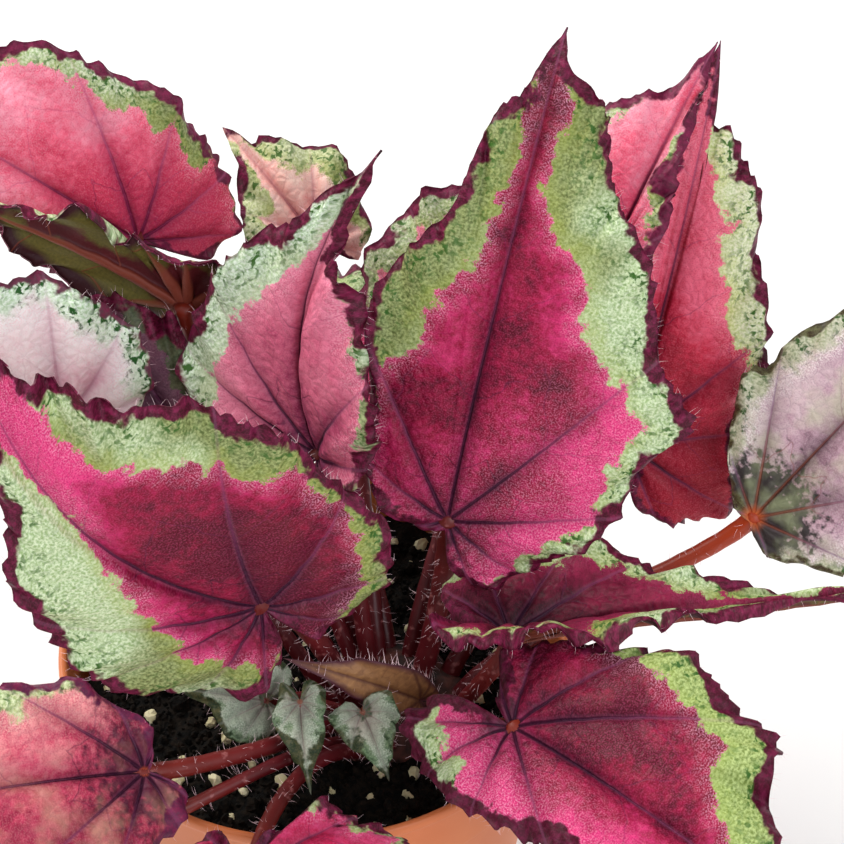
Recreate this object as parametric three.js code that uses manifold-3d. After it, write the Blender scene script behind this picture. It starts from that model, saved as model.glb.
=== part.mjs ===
// A rex begonia in a thin terracotta-coloured nursery pot.
// Millimetres, Z up. The origin is the middle of the pot's flat underside, the front is -Y.
import * as THREE from "three";
import { mergeVertices } from "three/addons/utils/BufferGeometryUtils.js";
import Module from "manifold-3d";

const wasm = await Module();
wasm.setup();

// Driving dimensions

const POT_HEIGHT = 105;
const RIM_RADIUS = 60;
const COLLAR_HEIGHT = 19;
const COLLAR_FOOT_RADIUS = 58.2;
const WALL_TOP_RADIUS = 56.2;
const BASE_RADIUS = 44.5;
const POT_WALL = 1.7;
const POT_FLOOR = 2.2;
const DRAIN_HOLES = 6;
const DRAIN_HOLE_RADIUS = 4;
const DRAIN_RING_RADIUS = 30;
const SOIL_TOP = 93;
const SOIL_BUMP = 1.5;
const GAP = 0.3;
const BLADE_THICKNESS = 0.9;
const RIB_DEPTH = 0.9;
const STALK_END = BLADE_THICKNESS + RIB_DEPTH + GAP;
const CROWN_CENTRE = [18, -10];
const CROWN_RADIUS = 18.5;
const CROWN_TOP = 98.5;
const CROWN_BOTTOM = 84;
const FOOT_RINGS = [4.5, 9.5, 13.5];
const FOOT_HEIGHT = 90;
const STALK_SIDES = 6;
const STALK_STEPS = 8;

// Directions of the main veins, in degrees from the midrib, plus is to the right.
const VEIN_ANGLES = [-142, -108, -62, -33, 0, 36, 70, 112, 145];

// The outline of an ordinary leaf from the tip to the notch, as shares of half width and length.
const COMMON_SIDE = [
  [0.05, 0.915], [0.17, 0.8], [0.4, 0.655], [0.7, 0.49], [0.93, 0.3],
  [1, 0.1], [0.93, -0.085], [0.68, -0.205], [0.36, -0.215], [0.11, -0.13],
];

// Every leaf: where the stalk meets the blade (hub), the tip, the way the upper face looks,
// and how the blade is shaped. left and right are half outlines from tip to notch in mm across
// and along the midrib; wide gives an ordinary outline its half widths as shares of the length.
// fold lifts each half along the midrib, curl turns it down towards the margin, bend arches the
// midrib, bow carries it sideways; all four are degrees except bow, a share of the length.
// foot is the place of the stalk in the crown: ring number and degrees round the crown.
// lean and arrive, where given, set how the stalk leaves the crown and how it reaches the blade.
const LEAVES = [
  {
    name: "centre", seed: 6, hub: [31, -4, 148], tip: [56, 45, 246], face: [-0.16, -0.8, 0.6],
    fold: [14, 6], curl: [20, 20], bend: 16, spokes: 28, foot: [1, 20], stalk: 2.6,
    left: [[3, 105], [6, 97], [10, 91], [11.5, 84], [15, 74], [20, 62], [26, 48], [24, 33], [22, 22],
      [21, 10], [15, 1], [7, -3]],
    right: [[4, 104], [10, 98], [16, 87], [24, 77], [33, 62], [38, 49], [47, 37], [38, 25], [37, 13],
      [28, 1], [14, -12], [4, -11]],
  },
  {
    name: "front_left", seed: 13, hub: [-9, -32, 150], tip: [-64, -32, 230], face: [-0.1, -0.8, 0.6],
    fold: [10, 10], curl: [20, 20], bend: 20, bow: -0.12, spokes: 28, foot: [2, 214], stalk: 2.5,
    left: [[2, 90], [4, 80], [9, 66], [15.5, 54], [20, 41], [26, 26], [30, 11], [27, -4], [15, -15],
      [4, -13]],
    right: [[6, 90], [11, 81], [17, 74], [20, 66], [30, 59], [35, 51], [43, 39], [42, 27], [37, 13],
      [30, -3], [22, -14], [9, -17], [2, -11]],
    lean: [-3, 3, 25],
  },
  {
    name: "inner_left", seed: 4, hub: [2, 6, 159], tip: [18, 24, 230], face: [-0.5, -0.8, 0.6],
    fold: [15, 22], curl: [10, 30], bend: 20, bow: -0.1, spokes: 28, foot: [1, 130], stalk: 2.2,
    left: [[2, 68], [6, 61], [12, 53], [16, 45], [24, 30], [29, 20], [30, 9], [24, -1], [13, -8],
      [4, -7]],
    right: [[3, 64], [5, 53], [13, 42], [20, 26], [21, 15], [17, 4], [9, -6], [3, -6]],
  },
  {
    name: "upper_left", seed: 1, hub: [-40, 54, 181], tip: [-90, 55, 220], face: [0.1, -0.75, 0.7],
    fold: [10, 10], curl: [20, 20], bend: 30, spokes: 28, foot: [3, 118], stalk: 2.3,
    left: [[5, 57], [10, 45], [14, 33], [16, 20], [14, 8], [9, -4], [4, -6]],
    right: [[8, 57], [19, 49.5], [28, 42], [30.5, 27], [30.5, 9], [25.5, -7], [16, -19], [6, -20]],
  },
  {
    name: "upper_right", seed: 8, hub: [73, 30, 140], tip: [92.4, 75.6, 221.5], face: [0.1, -0.85, 0.5],
    fold: [10, 10], curl: [20, 20], bend: 20, spokes: 28, foot: [3, 28], stalk: 2.3,
    left: [[4, 82], [6.5, 71], [10, 58], [14.5, 44], [20, 26], [20, 10], [14, -6], [6, -12]],
    right: [[2, 84], [2.8, 77.5], [8.5, 74], [14.5, 65.5], [17, 56], [20.5, 48], [26, 35], [27, 26], [24, 16],
      [25, 4], [30, -12], [18, -17], [7, -16]],
  },
  {
    name: "front_right", seed: 11, hub: [45, -44, 125], tip: [104, -92, 117], face: [0.1, -0.55, 0.85],
    fold: [8, 16], curl: [20, 20], bend: 30, spokes: 28, foot: [3, 308], stalk: 2.4,
    left: [[5, 70], [12, 60], [20, 56], [29, 50], [30, 40], [32, 28], [30, 13], [22, -2], [13, -11],
      [4, -8]],
    right: [[5, 68], [12, 54], [17, 40], [19, 27], [21, 14], [22, 2], [18, -12], [10, -21], [2, -19]],
  },
  {
    name: "right", seed: 9, hub: [101, 7, 138], tip: [148, 39, 176], face: [-0.1, -0.65, 0.75],
    fold: [10, 10], curl: [20, 20], bend: 20, spokes: 24, foot: [3, 1], stalk: 2.1,
    left: [[6, 60], [15, 50], [21, 38], [22, 27], [21, 17], [16, 9], [11, 4], [5, -1]],
    right: [[6, 58], [16, 44], [22, 30], [25, 16], [24, 6], [14, -1], [6, -4]],
  },
  {
    name: "edge_on", seed: 10, hub: [45, -22, 129.5], tip: [126, -23, 141.5], face: [0, 0.35, 0.95],
    fold: [30, 30], curl: [20, 20], bend: -10, spokes: 24, foot: [3, 338], stalk: 2.1,
    left: [[3, 76], [6, 60], [10, 47], [18, 34], [25, 20], [24, 6], [20, -8], [13, -16], [4, -12]],
    right: [[3, 76], [6, 60], [8, 46], [12, 34], [16, 20], [19, 6], [17, -10], [11, -17], [4, -13]],
  },
  {
    name: "low_left", seed: 12, hub: [-35, -50, 117], tip: [-88, -66, 124], face: [0.1, -0.5, 0.85],
    fold: [10, 10], curl: [20, 20], bend: 30, spokes: 24, foot: [3, 200], stalk: 2.1,
    left: [[6, 48], [14, 38], [19, 26], [20, 14], [18, 2], [13, -5], [6, -9]],
    right: [[6, 48], [14, 40], [22, 31], [22, 20], [19, 10], [13, 2], [6, -3]],
    lean: [-4, -16, 18.5],
    arrive: [-0.85, -0.3, 0.3],
  },
  {
    name: "front", seed: 15, hub: [-11, -76, 114], tip: [4, -140, 93], face: [0.1, -0.5, 0.85],
    fold: [10, 10], curl: [20, 20], bend: 30, spokes: 24, foot: [3, 250], stalk: 1.9,
    left: [[6, 60], [16, 46], [26, 30], [32, 14], [33, 0], [27, -7], [20, -12], [11, -10], [3, -7]],
    right: [[6, 60], [16, 46], [24, 30], [26, 14], [22, 0], [12, -10], [4, -9]],
    lean: [-14, -9, 19],
    arrive: [0.05, -0.95, 0.3],
  },
  {
    name: "left", seed: 14, hub: [-52, -2, 176], tip: [-80, 5, 210], face: [-0.2, -0.7, 0.7],
    fold: [10, 10], curl: [20, 20], bend: 20, spokes: 20, foot: [3, 176], stalk: 1.9,
    left: [[5, 38], [12, 28], [16, 16], [16, 4], [10, -7], [4, -7]],
    right: [[5, 38], [14, 34], [22, 27], [26, 15], [25, 5], [21, -5], [12, -11], [4, -9]],
  },
  {
    name: "back", seed: 3, hub: [0, 68, 170], tip: [-22, 87, 188], face: [0.2, -0.7, 0.8],
    fold: [10, 10], curl: [20, 20], bend: 20, spokes: 20, foot: [2, 104], stalk: 1.9,
    left: [[3, 26], [8, 20], [12, 12], [14, 2], [10, -8], [4, -9]],
    right: [[3, 28], [6, 26], [10, 21], [16.5, 14.5], [17.5, 7], [13, -3], [9.5, -8], [4, -9]],
  },
  {
    name: "inner_back", seed: 5, hub: [38, 44, 160], tip: [42, 70, 190], face: [-0.3, -0.8, 0.5],
    fold: [10, 10], curl: [20, 20], bend: 10, spokes: 20, foot: [2, 70], stalk: 1.9,
    left: [[6, 36], [14, 32], [22, 26], [28, 16], [28, 4], [18, -8], [6, -9]],
    right: [[6, 34], [14, 28], [20, 18], [22, 6], [16, -7], [6, -9]],
  },
  {
    name: "tip_right", seed: 7, hub: [66, 34, 188], tip: [91.2, 65, 227.8], face: [-0.45, -0.8, 0.5],
    fold: [20, 20], curl: [20, 20], bend: 10, spokes: 20, foot: [2, 44], stalk: 1.9,
    left: [[3, 47], [9, 39.5], [17, 33], [16, 25], [15, 12], [10, 1], [4, -4]],
    right: [[2.4, 46], [3.6, 40], [5.5, 32], [7, 25], [9, 18], [9, 6], [4, -4]],
    arrive: [0.6, 0, 0.8],
  },
  {
    name: "underside_left", seed: 2, hub: [-27, 30, 181], tip: [-76, 29, 210], face: [-0.2, 0.95, 0.3],
    fold: [-6, 10], curl: [6, 20], bend: 10, spokes: 20, foot: [2, 136], stalk: 1.9,
    left: [[4, 46], [11, 38], [13, 30], [11, 24], [10.5, 19], [13, 13], [16, 5], [13, -4], [5, -6]],
    right: [[3, 46], [8, 38], [11, 26], [11, 12], [8, 0], [4, -5]],
    lean: [-9, 16, 32],
    arrive: [-0.1, 0.05, 1],
  },
  {
    name: "inner_shaded", seed: 17, hub: [-24, 15, 149], tip: [-48, 32.5, 183], face: [-0.2, -0.7, 0.7],
    fold: [10, 10], curl: [20, 20], bend: 20, wide: [0.5, 0.5], spokes: 12, foot: [2, 165], stalk: 1.5,
    right: [[6, 42], [10, 37], [12, 31], [12, 23], [10, 12], [7, -1], [3, -5]],
  },
  {
    name: "small_shaded", seed: 16, hub: [-10, -22, 108], tip: [-30, -22, 112], face: [0, -0.6, 0.8],
    fold: [10, 10], curl: [20, 20], bend: 20, wide: [0.5, 0.5], spokes: 10, foot: [2, 190], stalk: 1.3,
    waves: 5, ruffle: 1, quilt: 0.6,
    lean: [-3, 0, 14],
  },
  {
    name: "young_left", seed: 18, hub: [-2, -27.5, 114], tip: [1, -46, 104.5], face: [-0.1, -0.6, 0.8],
    fold: [10, 10], curl: [20, 20], bend: 40, wide: [0.28, 0.28], spokes: 10, foot: [2, 248], stalk: 1.2,
    waves: 5, ruffle: 1, quilt: 0.6,
    lean: [-2, -3, 14],
  },
  {
    name: "young_right", seed: 19, hub: [12, -28, 111], tip: [18, -43, 105], face: [0.1, -0.6, 0.8],
    fold: [10, 10], curl: [20, 20], bend: 30, wide: [0.42, 0.42], spokes: 10, foot: [3, 279], stalk: 1.2,
    waves: 5, ruffle: 1, quilt: 0.6,
    lean: [-1, -6, 12],
  },
  {
    name: "rear", seed: 20, hub: [2, 60, 130], tip: [-4, 118, 128], face: [0, 0.35, 0.9],
    fold: [10, 10], curl: [20, 20], bend: 30, wide: [0.44, 0.4], spokes: 14, foot: [3, 92], stalk: 2,
  },
  {
    name: "rear_left", seed: 21, hub: [-38, 48, 122], tip: [-84, 84, 118], face: [-0.2, 0.35, 0.9],
    fold: [10, 10], curl: [20, 20], bend: 30, wide: [0.4, 0.44], spokes: 14, foot: [3, 143], stalk: 2,
  },
  {
    name: "rear_right", seed: 22, hub: [48, 54, 122], tip: [82, 98, 112], face: [0.2, 0.35, 0.9],
    fold: [10, 10], curl: [20, 20], bend: 30, wide: [0.42, 0.4], spokes: 14, foot: [3, 60], stalk: 2,
  },
  {
    name: "low_front_left", seed: 23, hub: [-62, -66, 108], tip: [-88, -98, 87], face: [-0.35, -0.4, 0.85],
    fold: [10, 10], curl: [20, 20], bend: 30, wide: [0.36, 0.34], spokes: 14, foot: [3, 225], stalk: 1.6,
    lean: [-12, -24, 32],
    arrive: [-0.93, -0.2, 0.25],
  },
];

// The dry sheath at the foot of the stalks, given like the leaves; it has no stalk.
const BRACTS = [
  {
    name: "sheath", seed: 31, hub: [25, -15, 100.1], tip: [-6, -19, 119], face: [0, -0.6, 0.8],
    fold: [5, 35], curl: [20, 20], bend: 50, spokes: 8, waves: 4, ruffle: 0.6, quilt: 0,
    left: [[2, 28], [4, 21], [5, 12], [4.5, 2], [3, -4]],
    right: [[2.5, 28], [5.5, 21], [7, 12], [5.5, 2], [3, -4]],
  },
];

// Small shared helpers

const radians = (degrees) => (degrees * Math.PI) / 180;
const clamp = THREE.MathUtils.clamp;
const vector = (list) => new THREE.Vector3(...list);

// A repeatable number from 0 to 1 for each seed and count.
function seeded(seed, count) {
  const x = Math.sin(seed * 12.9898 + count * 78.233) * 43758.5453;
  return x - Math.floor(x);
}

// A closed solid from a three.js geometry.
function solidOf(geometry) {
  const plain = geometry.clone();
  plain.deleteAttribute("normal");
  plain.deleteAttribute("uv");
  const merged = mergeVertices(plain, 1e-3);
  return new wasm.Manifold(
    new wasm.Mesh({
      numProp: 3,
      vertProperties: new Float32Array(merged.attributes.position.array),
      triVerts: new Uint32Array(merged.index.array),
    }),
  );
}

// A three.js geometry from a solid.
function geometryOf(solid) {
  const mesh = solid.getMesh();
  const geometry = new THREE.BufferGeometry();
  const positions = [];
  for (let i = 0; i < mesh.numVert; i += 1) {
    positions.push(...mesh.vertProperties.subarray(i * mesh.numProp, i * mesh.numProp + 3));
  }
  geometry.setAttribute("position", new THREE.Float32BufferAttribute(positions, 3));
  geometry.setIndex(Array.from(mesh.triVerts));
  return geometry;
}

// A body turned about the vertical from a half profile of [radius, height] pairs.
function turned(profile, steps) {
  const points = profile.map(([r, z]) => new THREE.Vector2(r, z));
  const geometry = new THREE.LatheGeometry(points, steps);
  geometry.rotateX(Math.PI / 2);
  return solidOf(geometry);
}

// A round bar of the given radius along a curve.
function bar(curve, radius, sides = STALK_SIDES, steps = STALK_STEPS) {
  const section = new THREE.Shape();
  for (let i = 0; i < sides; i += 1) {
    const angle = (2 * Math.PI * i) / sides;
    const x = radius * Math.cos(angle);
    const y = radius * Math.sin(angle);
    if (i === 0) section.moveTo(x, y);
    else section.lineTo(x, y);
  }
  const options = { steps, extrudePath: curve, bevelEnabled: false };
  return solidOf(new THREE.ExtrudeGeometry(section, options));
}

// Leaf blade

// The half outline of a leaf as a curve from the tip (0) to the notch (1).
function sideCurve(leaf, side, length) {
  const given = side > 0 ? leaf.right : leaf.left;
  const share = leaf.wide ? leaf.wide[side > 0 ? 1 : 0] : 1;
  const points = given ?? COMMON_SIDE.map(([x, y]) => [x * share * length, y * length]);
  const ends = [[0, length], ...points, [0, -0.02 * length]];
  return new THREE.SplineCurve(ends.map(([x, y]) => new THREE.Vector2(x, y)));
}

// Everything about a leaf that its surface needs: frame, length, outlines and vein places.
function prepared(leaf) {
  const hub = vector(leaf.hub);
  const along = vector(leaf.tip).sub(hub);
  const chord = along.length();
  along.normalize();
  const face = vector(leaf.face);
  const normal = face.addScaledVector(along, -face.dot(along)).normalize();
  const across = along.clone().cross(normal);
  const bend = radians(leaf.bend);
  const under = normal.clone().multiplyScalar(Math.cos(bend / 2));
  under.addScaledVector(along, -Math.sin(bend / 2));
  const length = (chord * bend) / 2 / Math.sin(bend / 2);
  const curves = [sideCurve(leaf, -1, length), sideCurve(leaf, 1, length)];
  const halfWidths = curves.map((curve) => Math.max(...curve.points.map((p) => p.x)));
  const wobble = leaf.left ? 0.5 : 1;
  const made = { ...leaf, hub, along, normal, across, under, bend, length, curves, halfWidths, wobble };
  made.veins = veinPlaces(made);
  return made;
}

// The flat outline point at t, from -1 (notch, left) over 0 (tip) to 1 (notch, right).
function outlinePoint(leaf, t) {
  const share = Math.abs(t);
  const point = leaf.curves[t >= 0 ? 1 : 0].getPoint(share);
  if (t < 0) point.x *= -1;
  const fade = clamp(share / 0.12, 0, 1) * clamp((1 - share) / 0.12, 0, 1);
  const turn = Math.PI * t;
  const full = 2 * Math.PI;
  const wave =
    0.045 * Math.sin(5 * turn + full * seeded(leaf.seed, 1)) +
    0.035 * Math.sin(9 * turn + full * seeded(leaf.seed, 2)) +
    0.02 * Math.sin(15 * turn + full * seeded(leaf.seed, 3));
  return point.multiplyScalar(1 + leaf.wobble * fade * wave);
}

// Where each main vein meets the outline, as values of t.
function veinPlaces(leaf) {
  const steps = 1200;
  const places = [];
  let before = null;
  for (let i = 0; i <= steps; i += 1) {
    const t = -0.995 + (1.99 * i) / steps;
    const point = outlinePoint(leaf, t);
    const angle = THREE.MathUtils.radToDeg(Math.atan2(point.x, point.y));
    if (before) {
      for (const wanted of VEIN_ANGLES) {
        if (before.angle < wanted && angle >= wanted) {
          const share = (wanted - before.angle) / (angle - before.angle);
          places.push(wanted === 0 ? 0 : before.t + share * (t - before.t));
        }
      }
    }
    before = { t, angle };
  }
  return places;
}

// A point of the blade: t picks the ray from the hub, share the way out along it, and drop is the
// depth under the upper face. Near the midrib heights turn to go straight up, so that the halves
// never cross there.
function surfacePoint(leaf, t, share, drop = 0) {
  const rim = outlinePoint(leaf, t);
  const flat = rim.clone().multiplyScalar(share);
  const stops = [-1, ...leaf.veins, 1];
  let panel = stops.findIndex((stop) => stop > t) - 1;
  if (panel < 0) panel = stops.length - 2;
  const within = (t - stops[panel]) / (stops[panel + 1] - stops[panel]);
  const room = clamp(rim.length() / (0.25 * leaf.length), 0, 1);
  const quilt = Math.sin(Math.PI * clamp(within, 0, 1)) * 4 * room * share * Math.max(0, 1 - share) ** 0.8;
  const funnel = 3 * (1 - Math.exp(-flat.length() / 14));
  const calm = clamp(Math.abs(t) / 0.1, 0.35, 1) * clamp((1 - Math.abs(t)) / 0.1, 0, 1);
  const outer = clamp((share - 0.5) / 0.5, 0, 1) ** 2;
  const waves = leaf.waves ?? 9;
  const full = 2 * Math.PI;
  const ripple =
    Math.sin(waves * Math.PI * t + full * seeded(leaf.seed, 4)) +
    0.6 * Math.sin(1.7 * waves * Math.PI * t + full * seeded(leaf.seed, 5));
  const height =
    (leaf.quilt ?? 1.6) * quilt + funnel + (leaf.ruffle ?? 2) * outer * calm * ripple;
  const side = flat.x >= 0 ? 1 : 0;
  const fold = radians(leaf.fold[side]);
  const curl = (radians(leaf.curl[side]) || 1e-6) / leaf.halfWidths[side];
  const tilt = fold - curl * Math.abs(flat.x);
  const lean = tilt * clamp(Math.abs(flat.x) / 8, 0, 1);
  const reach = (Math.sin(fold) - Math.sin(tilt)) / curl - (height - drop) * Math.sin(lean);
  const rise = (Math.cos(tilt) - Math.cos(fold)) / curl + (height - drop) * Math.cos(lean);
  const bow = (leaf.bow ?? 0) * leaf.length;
  const sideways = (side ? reach : -reach) + bow * Math.sin(Math.PI * clamp(flat.y / leaf.length, 0, 1));
  const slope = leaf.bend / 2 - (leaf.bend * flat.y) / leaf.length;
  const radius = leaf.length / leaf.bend;
  const forward = radius * (Math.sin(leaf.bend / 2) - Math.sin(slope)) - rise * Math.sin(slope);
  const up = radius * (Math.cos(slope) - Math.cos(leaf.bend / 2)) + rise * Math.cos(slope);
  return leaf.hub
    .clone()
    .addScaledVector(leaf.across, sideways)
    .addScaledVector(leaf.along, forward)
    .addScaledVector(leaf.normal, up);
}

// The rays of a blade: even steps from notch to notch, with the nearest moved onto each vein.
function rayPlaces(leaf, count) {
  const places = [];
  for (let i = 0; i < count; i += 1) places.push(-1 + (2 * i) / count);
  for (const vein of leaf.veins) {
    let best = 1;
    for (let i = 1; i < count; i += 1) {
      if (Math.abs(places[i] - vein) < Math.abs(places[best] - vein)) best = i;
    }
    places[best] = vein;
  }
  return places;
}

// A blade as one closed body. The upper face is a fan of rays and rings that doubles its rays
// in the two outer rings; the lower face is the same fan dropped by the blade's thickness, so
// that the two never cross.
function bladeSolid(leaf, { rings = [0.3, 0.62, 0.85, 1], lift = 0, depth = BLADE_THICKNESS } = {}) {
  const rays = rayPlaces(leaf, leaf.spokes);
  const count = rays.length;
  const fine = [];
  rays.forEach((t, i) => fine.push(t, (t + (rays[i + 1] ?? 1)) / 2));
  const isRib = (t) => leaf.veins.includes(t);
  const upper = [surfacePoint(leaf, 0, 0, -lift)];
  const lower = [surfacePoint(leaf, 0, 0, depth + RIB_DEPTH)];
  const starts = [];
  rings.forEach((share, ring) => {
    starts.push(upper.length);
    for (const t of ring < 2 ? rays : fine) {
      const rib = isRib(t) ? RIB_DEPTH * Math.max(0, 1 - share) : 0;
      upper.push(surfacePoint(leaf, t, share, -lift));
      lower.push(surfacePoint(leaf, t, share, depth + rib));
    }
  });
  const triangles = [];
  for (let i = 0; i < count; i += 1) {
    const next = (i + 1) % count;
    triangles.push([0, starts[0] + next, starts[0] + i]);
    triangles.push([starts[0] + i, starts[0] + next, starts[1] + next]);
    triangles.push([starts[0] + i, starts[1] + next, starts[1] + i]);
    const outer = starts[2] + 2 * i;
    const outerNext = starts[2] + 2 * next;
    triangles.push([starts[1] + i, outer + 1, outer]);
    triangles.push([starts[1] + i, starts[1] + next, outer + 1]);
    triangles.push([starts[1] + next, outerNext, outer + 1]);
  }
  const edge = starts[3];
  for (let i = 0; i < 2 * count; i += 1) {
    const next = (i + 1) % (2 * count);
    triangles.push([starts[2] + i, starts[2] + next, edge + next]);
    triangles.push([starts[2] + i, edge + next, edge + i]);
  }
  const total = upper.length;
  const faces = triangles.flatMap(([a, b, c]) => [a, b, c, total + a, total + c, total + b]);
  for (let i = 0; i < 2 * count; i += 1) {
    const a = edge + i;
    const b = edge + ((i + 1) % (2 * count));
    faces.push(a, b, total + a, b, total + b, total + a);
  }
  const geometry = new THREE.BufferGeometry().setFromPoints([...upper, ...lower]);
  geometry.setIndex(faces);
  return solidOf(geometry);
}

// Pieces

const group = new THREE.Group();
group.name = "potted_rex_begonia";

function add(name, solid, colour, roughness = 0.6) {
  const material = new THREE.MeshStandardMaterial({ color: colour, roughness });
  material.name = name;
  const mesh = new THREE.Mesh(geometryOf(solid), material);
  mesh.name = name;
  group.add(mesh);
}

// Pot: one turned wall with a collar and a rounded lip, closed below and drilled for drainage.

const potProfile = [
  [0, 0], [BASE_RADIUS - 3, 0], [BASE_RADIUS - 2, 0.8], [BASE_RADIUS, 0.8],
  [WALL_TOP_RADIUS, POT_HEIGHT - COLLAR_HEIGHT], [COLLAR_FOOT_RADIUS, POT_HEIGHT - COLLAR_HEIGHT + 0.6],
  [RIM_RADIUS - 0.8, POT_HEIGHT - 3], [RIM_RADIUS, POT_HEIGHT - 2.2],
  [RIM_RADIUS - 0.3, POT_HEIGHT], [RIM_RADIUS - 1.6, POT_HEIGHT], [RIM_RADIUS - 2.3, POT_HEIGHT - 0.8],
  [COLLAR_FOOT_RADIUS - POT_WALL, POT_HEIGHT - COLLAR_HEIGHT + 2],
  [WALL_TOP_RADIUS - POT_WALL, POT_HEIGHT - COLLAR_HEIGHT],
  [BASE_RADIUS - POT_WALL, POT_FLOOR + 2], [BASE_RADIUS - POT_WALL - 2, POT_FLOOR], [0, POT_FLOOR],
];
let pot = turned(potProfile, 40);
for (let i = 0; i < DRAIN_HOLES; i += 1) {
  const angle = (2 * Math.PI * (i + 0.5)) / DRAIN_HOLES;
  const hole = new THREE.CylinderGeometry(DRAIN_HOLE_RADIUS, DRAIN_HOLE_RADIUS, 12, 12);
  hole.rotateX(Math.PI / 2);
  hole.translate(DRAIN_RING_RADIUS * Math.cos(angle), DRAIN_RING_RADIUS * Math.sin(angle), 0);
  pot = pot.subtract(solidOf(hole));
}
add("pot", pot, 0xc8643c, 0.55);

// Crown: the low knobbly stock that all the stalks rise from.

function crownSolid(margin) {
  const middle = (CROWN_TOP + CROWN_BOTTOM) / 2;
  const geometry = new THREE.SphereGeometry(1, 18, 7);
  geometry.rotateX(Math.PI / 2);
  const place = geometry.attributes.position;
  for (let i = 0; i < place.count; i += 1) {
    const x = place.getX(i);
    const y = place.getY(i);
    const z = place.getZ(i);
    const flat = Math.hypot(x, y);
    const widen = flat > 1e-6 ? Math.min(1, flat ** 0.6 + 0.02) / flat : 0;
    const knob = 1 + 0.05 * Math.sin(5 * Math.atan2(y, x) + 4 * z) * flat;
    const radius = (CROWN_RADIUS * widen * knob + margin / Math.max(flat, 0.2)) * (flat > 1e-6 ? 1 : 0);
    const half = (CROWN_TOP - CROWN_BOTTOM) / 2 + margin;
    const rise = Math.sign(z) * Math.abs(z) ** 0.7 * half;
    place.setXYZ(i, CROWN_CENTRE[0] + x * radius, CROWN_CENTRE[1] + y * radius, middle + rise);
  }
  return solidOf(geometry);
}

// Stalks: each starts in a hole of the crown and ends just under the hub of its blade.

function stalkCurve(leaf, below = 0) {
  const [ring, degrees] = leaf.foot;
  const turn = radians(degrees);
  const out = new THREE.Vector3(Math.cos(turn), Math.sin(turn), 0);
  const foot = new THREE.Vector3(CROWN_CENTRE[0], CROWN_CENTRE[1], FOOT_HEIGHT);
  foot.addScaledVector(out, FOOT_RINGS[ring - 1]);
  const reach = foot.distanceTo(leaf.hub);
  const lean = leaf.lean ?? [0.12 * reach * out.x, 0.12 * reach * out.y, 0.35 * reach];
  const first = foot.clone().add(vector(lean));
  const natural = leaf.along.clone().multiplyScalar(0.6).addScaledVector(leaf.normal, 0.8);
  const arrive = leaf.arrive ? vector(leaf.arrive) : natural;
  arrive.normalize();
  const end = leaf.hub.clone().addScaledVector(leaf.under, -STALK_END);
  const last = end.clone().addScaledVector(arrive, -0.3 * reach);
  foot.addScaledVector(first.clone().sub(foot).normalize(), -below);
  return new THREE.CubicBezierCurve3(foot, first, last, end.addScaledVector(arrive, 3));
}

// The largest piece of a solid: thin splinters between neighbouring stalk holes fall away.
function largestBody(solid) {
  const bodies = solid.decompose();
  bodies.sort((a, b) => b.volume() - a.volume());
  return bodies[0];
}

// A block that lies under the hub and cuts the end of the stalk parallel to the blade.
function cutBlock(leaf) {
  const size = 14;
  const block = new THREE.BoxGeometry(size, size, size);
  block.translate(0, 0, size / 2 - STALK_END);
  const turn = new THREE.Quaternion().setFromUnitVectors(new THREE.Vector3(0, 0, 1), leaf.under);
  block.applyQuaternion(turn);
  block.translate(leaf.hub.x, leaf.hub.y, leaf.hub.z);
  return solidOf(block);
}

const leaves = LEAVES.map(prepared);
const bracts = BRACTS.map(prepared);
let crown = crownSolid(0);
for (const leaf of leaves) {
  const stalk = bar(stalkCurve(leaf), leaf.stalk).subtract(cutBlock(leaf));
  crown = crown.subtract(bar(stalkCurve(leaf, GAP), leaf.stalk + 1.4 * GAP));
  add("blade_" + leaf.name, bladeSolid(leaf), 0xb02050);
  add("stalk_" + leaf.name, stalk, 0x7a1f2a);
}
for (const bract of bracts) {
  const slot = { rings: [0.3, 0.62, 0.85, 1.4], lift: 1.6, depth: BLADE_THICKNESS + 1.6 };
  crown = crown.subtract(bladeSolid(bract, slot));
  add(bract.name, bladeSolid(bract), 0x8a4a44);
}
add("crown", largestBody(crown), 0x3a2418, 0.9);

// Soil: fills the pot to a little under the rim, with a lumpy top.

function soilHeight(x, y) {
  const lumps = Math.sin(0.31 * x + 1.3) * Math.cos(0.27 * y - 0.4) + 0.6 * Math.sin(0.73 * x - 0.57 * y);
  return SOIL_TOP + SOIL_BUMP * (lumps / 1.6);
}

const floorRadius = BASE_RADIUS - POT_WALL - 2 - GAP;
const slope = (WALL_TOP_RADIUS - BASE_RADIUS) / (POT_HEIGHT - COLLAR_HEIGHT - 0.8);
const wallRadius = (z) => BASE_RADIUS - POT_WALL - GAP - 0.4 + slope * (z - 2.5);
const soilProfile = [[0, POT_FLOOR + GAP], [floorRadius, POT_FLOOR + GAP], [wallRadius(5), 5]];
soilProfile.push([wallRadius(85), 85], [wallRadius(85) + 0.4, SOIL_TOP]);
for (let ring = 5; ring >= 0; ring -= 1) soilProfile.push([(ring / 6) * wallRadius(85), SOIL_TOP]);
const soilShape = new THREE.LatheGeometry(soilProfile.map(([r, z]) => new THREE.Vector2(r, z)), 36);
soilShape.rotateX(Math.PI / 2);
const soilPlaces = soilShape.attributes.position;
for (let i = 0; i < soilPlaces.count; i += 1) {
  if (soilPlaces.getZ(i) > SOIL_TOP - 0.01) {
    soilPlaces.setZ(i, soilHeight(soilPlaces.getX(i), soilPlaces.getY(i)));
  }
}
add("soil", solidOf(soilShape).subtract(crownSolid(GAP)), 0x241a14, 1);

export default group;
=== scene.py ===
# %% [markdown]
# # A rex begonia in a nursery pot
# The plant is a fan of large waved leaves on thin hairy stalks, in a terracotta-coloured pot.
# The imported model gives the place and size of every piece. Each plain solid is replaced here by a
# finer one of the same form, and then painted with procedural materials.

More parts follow.
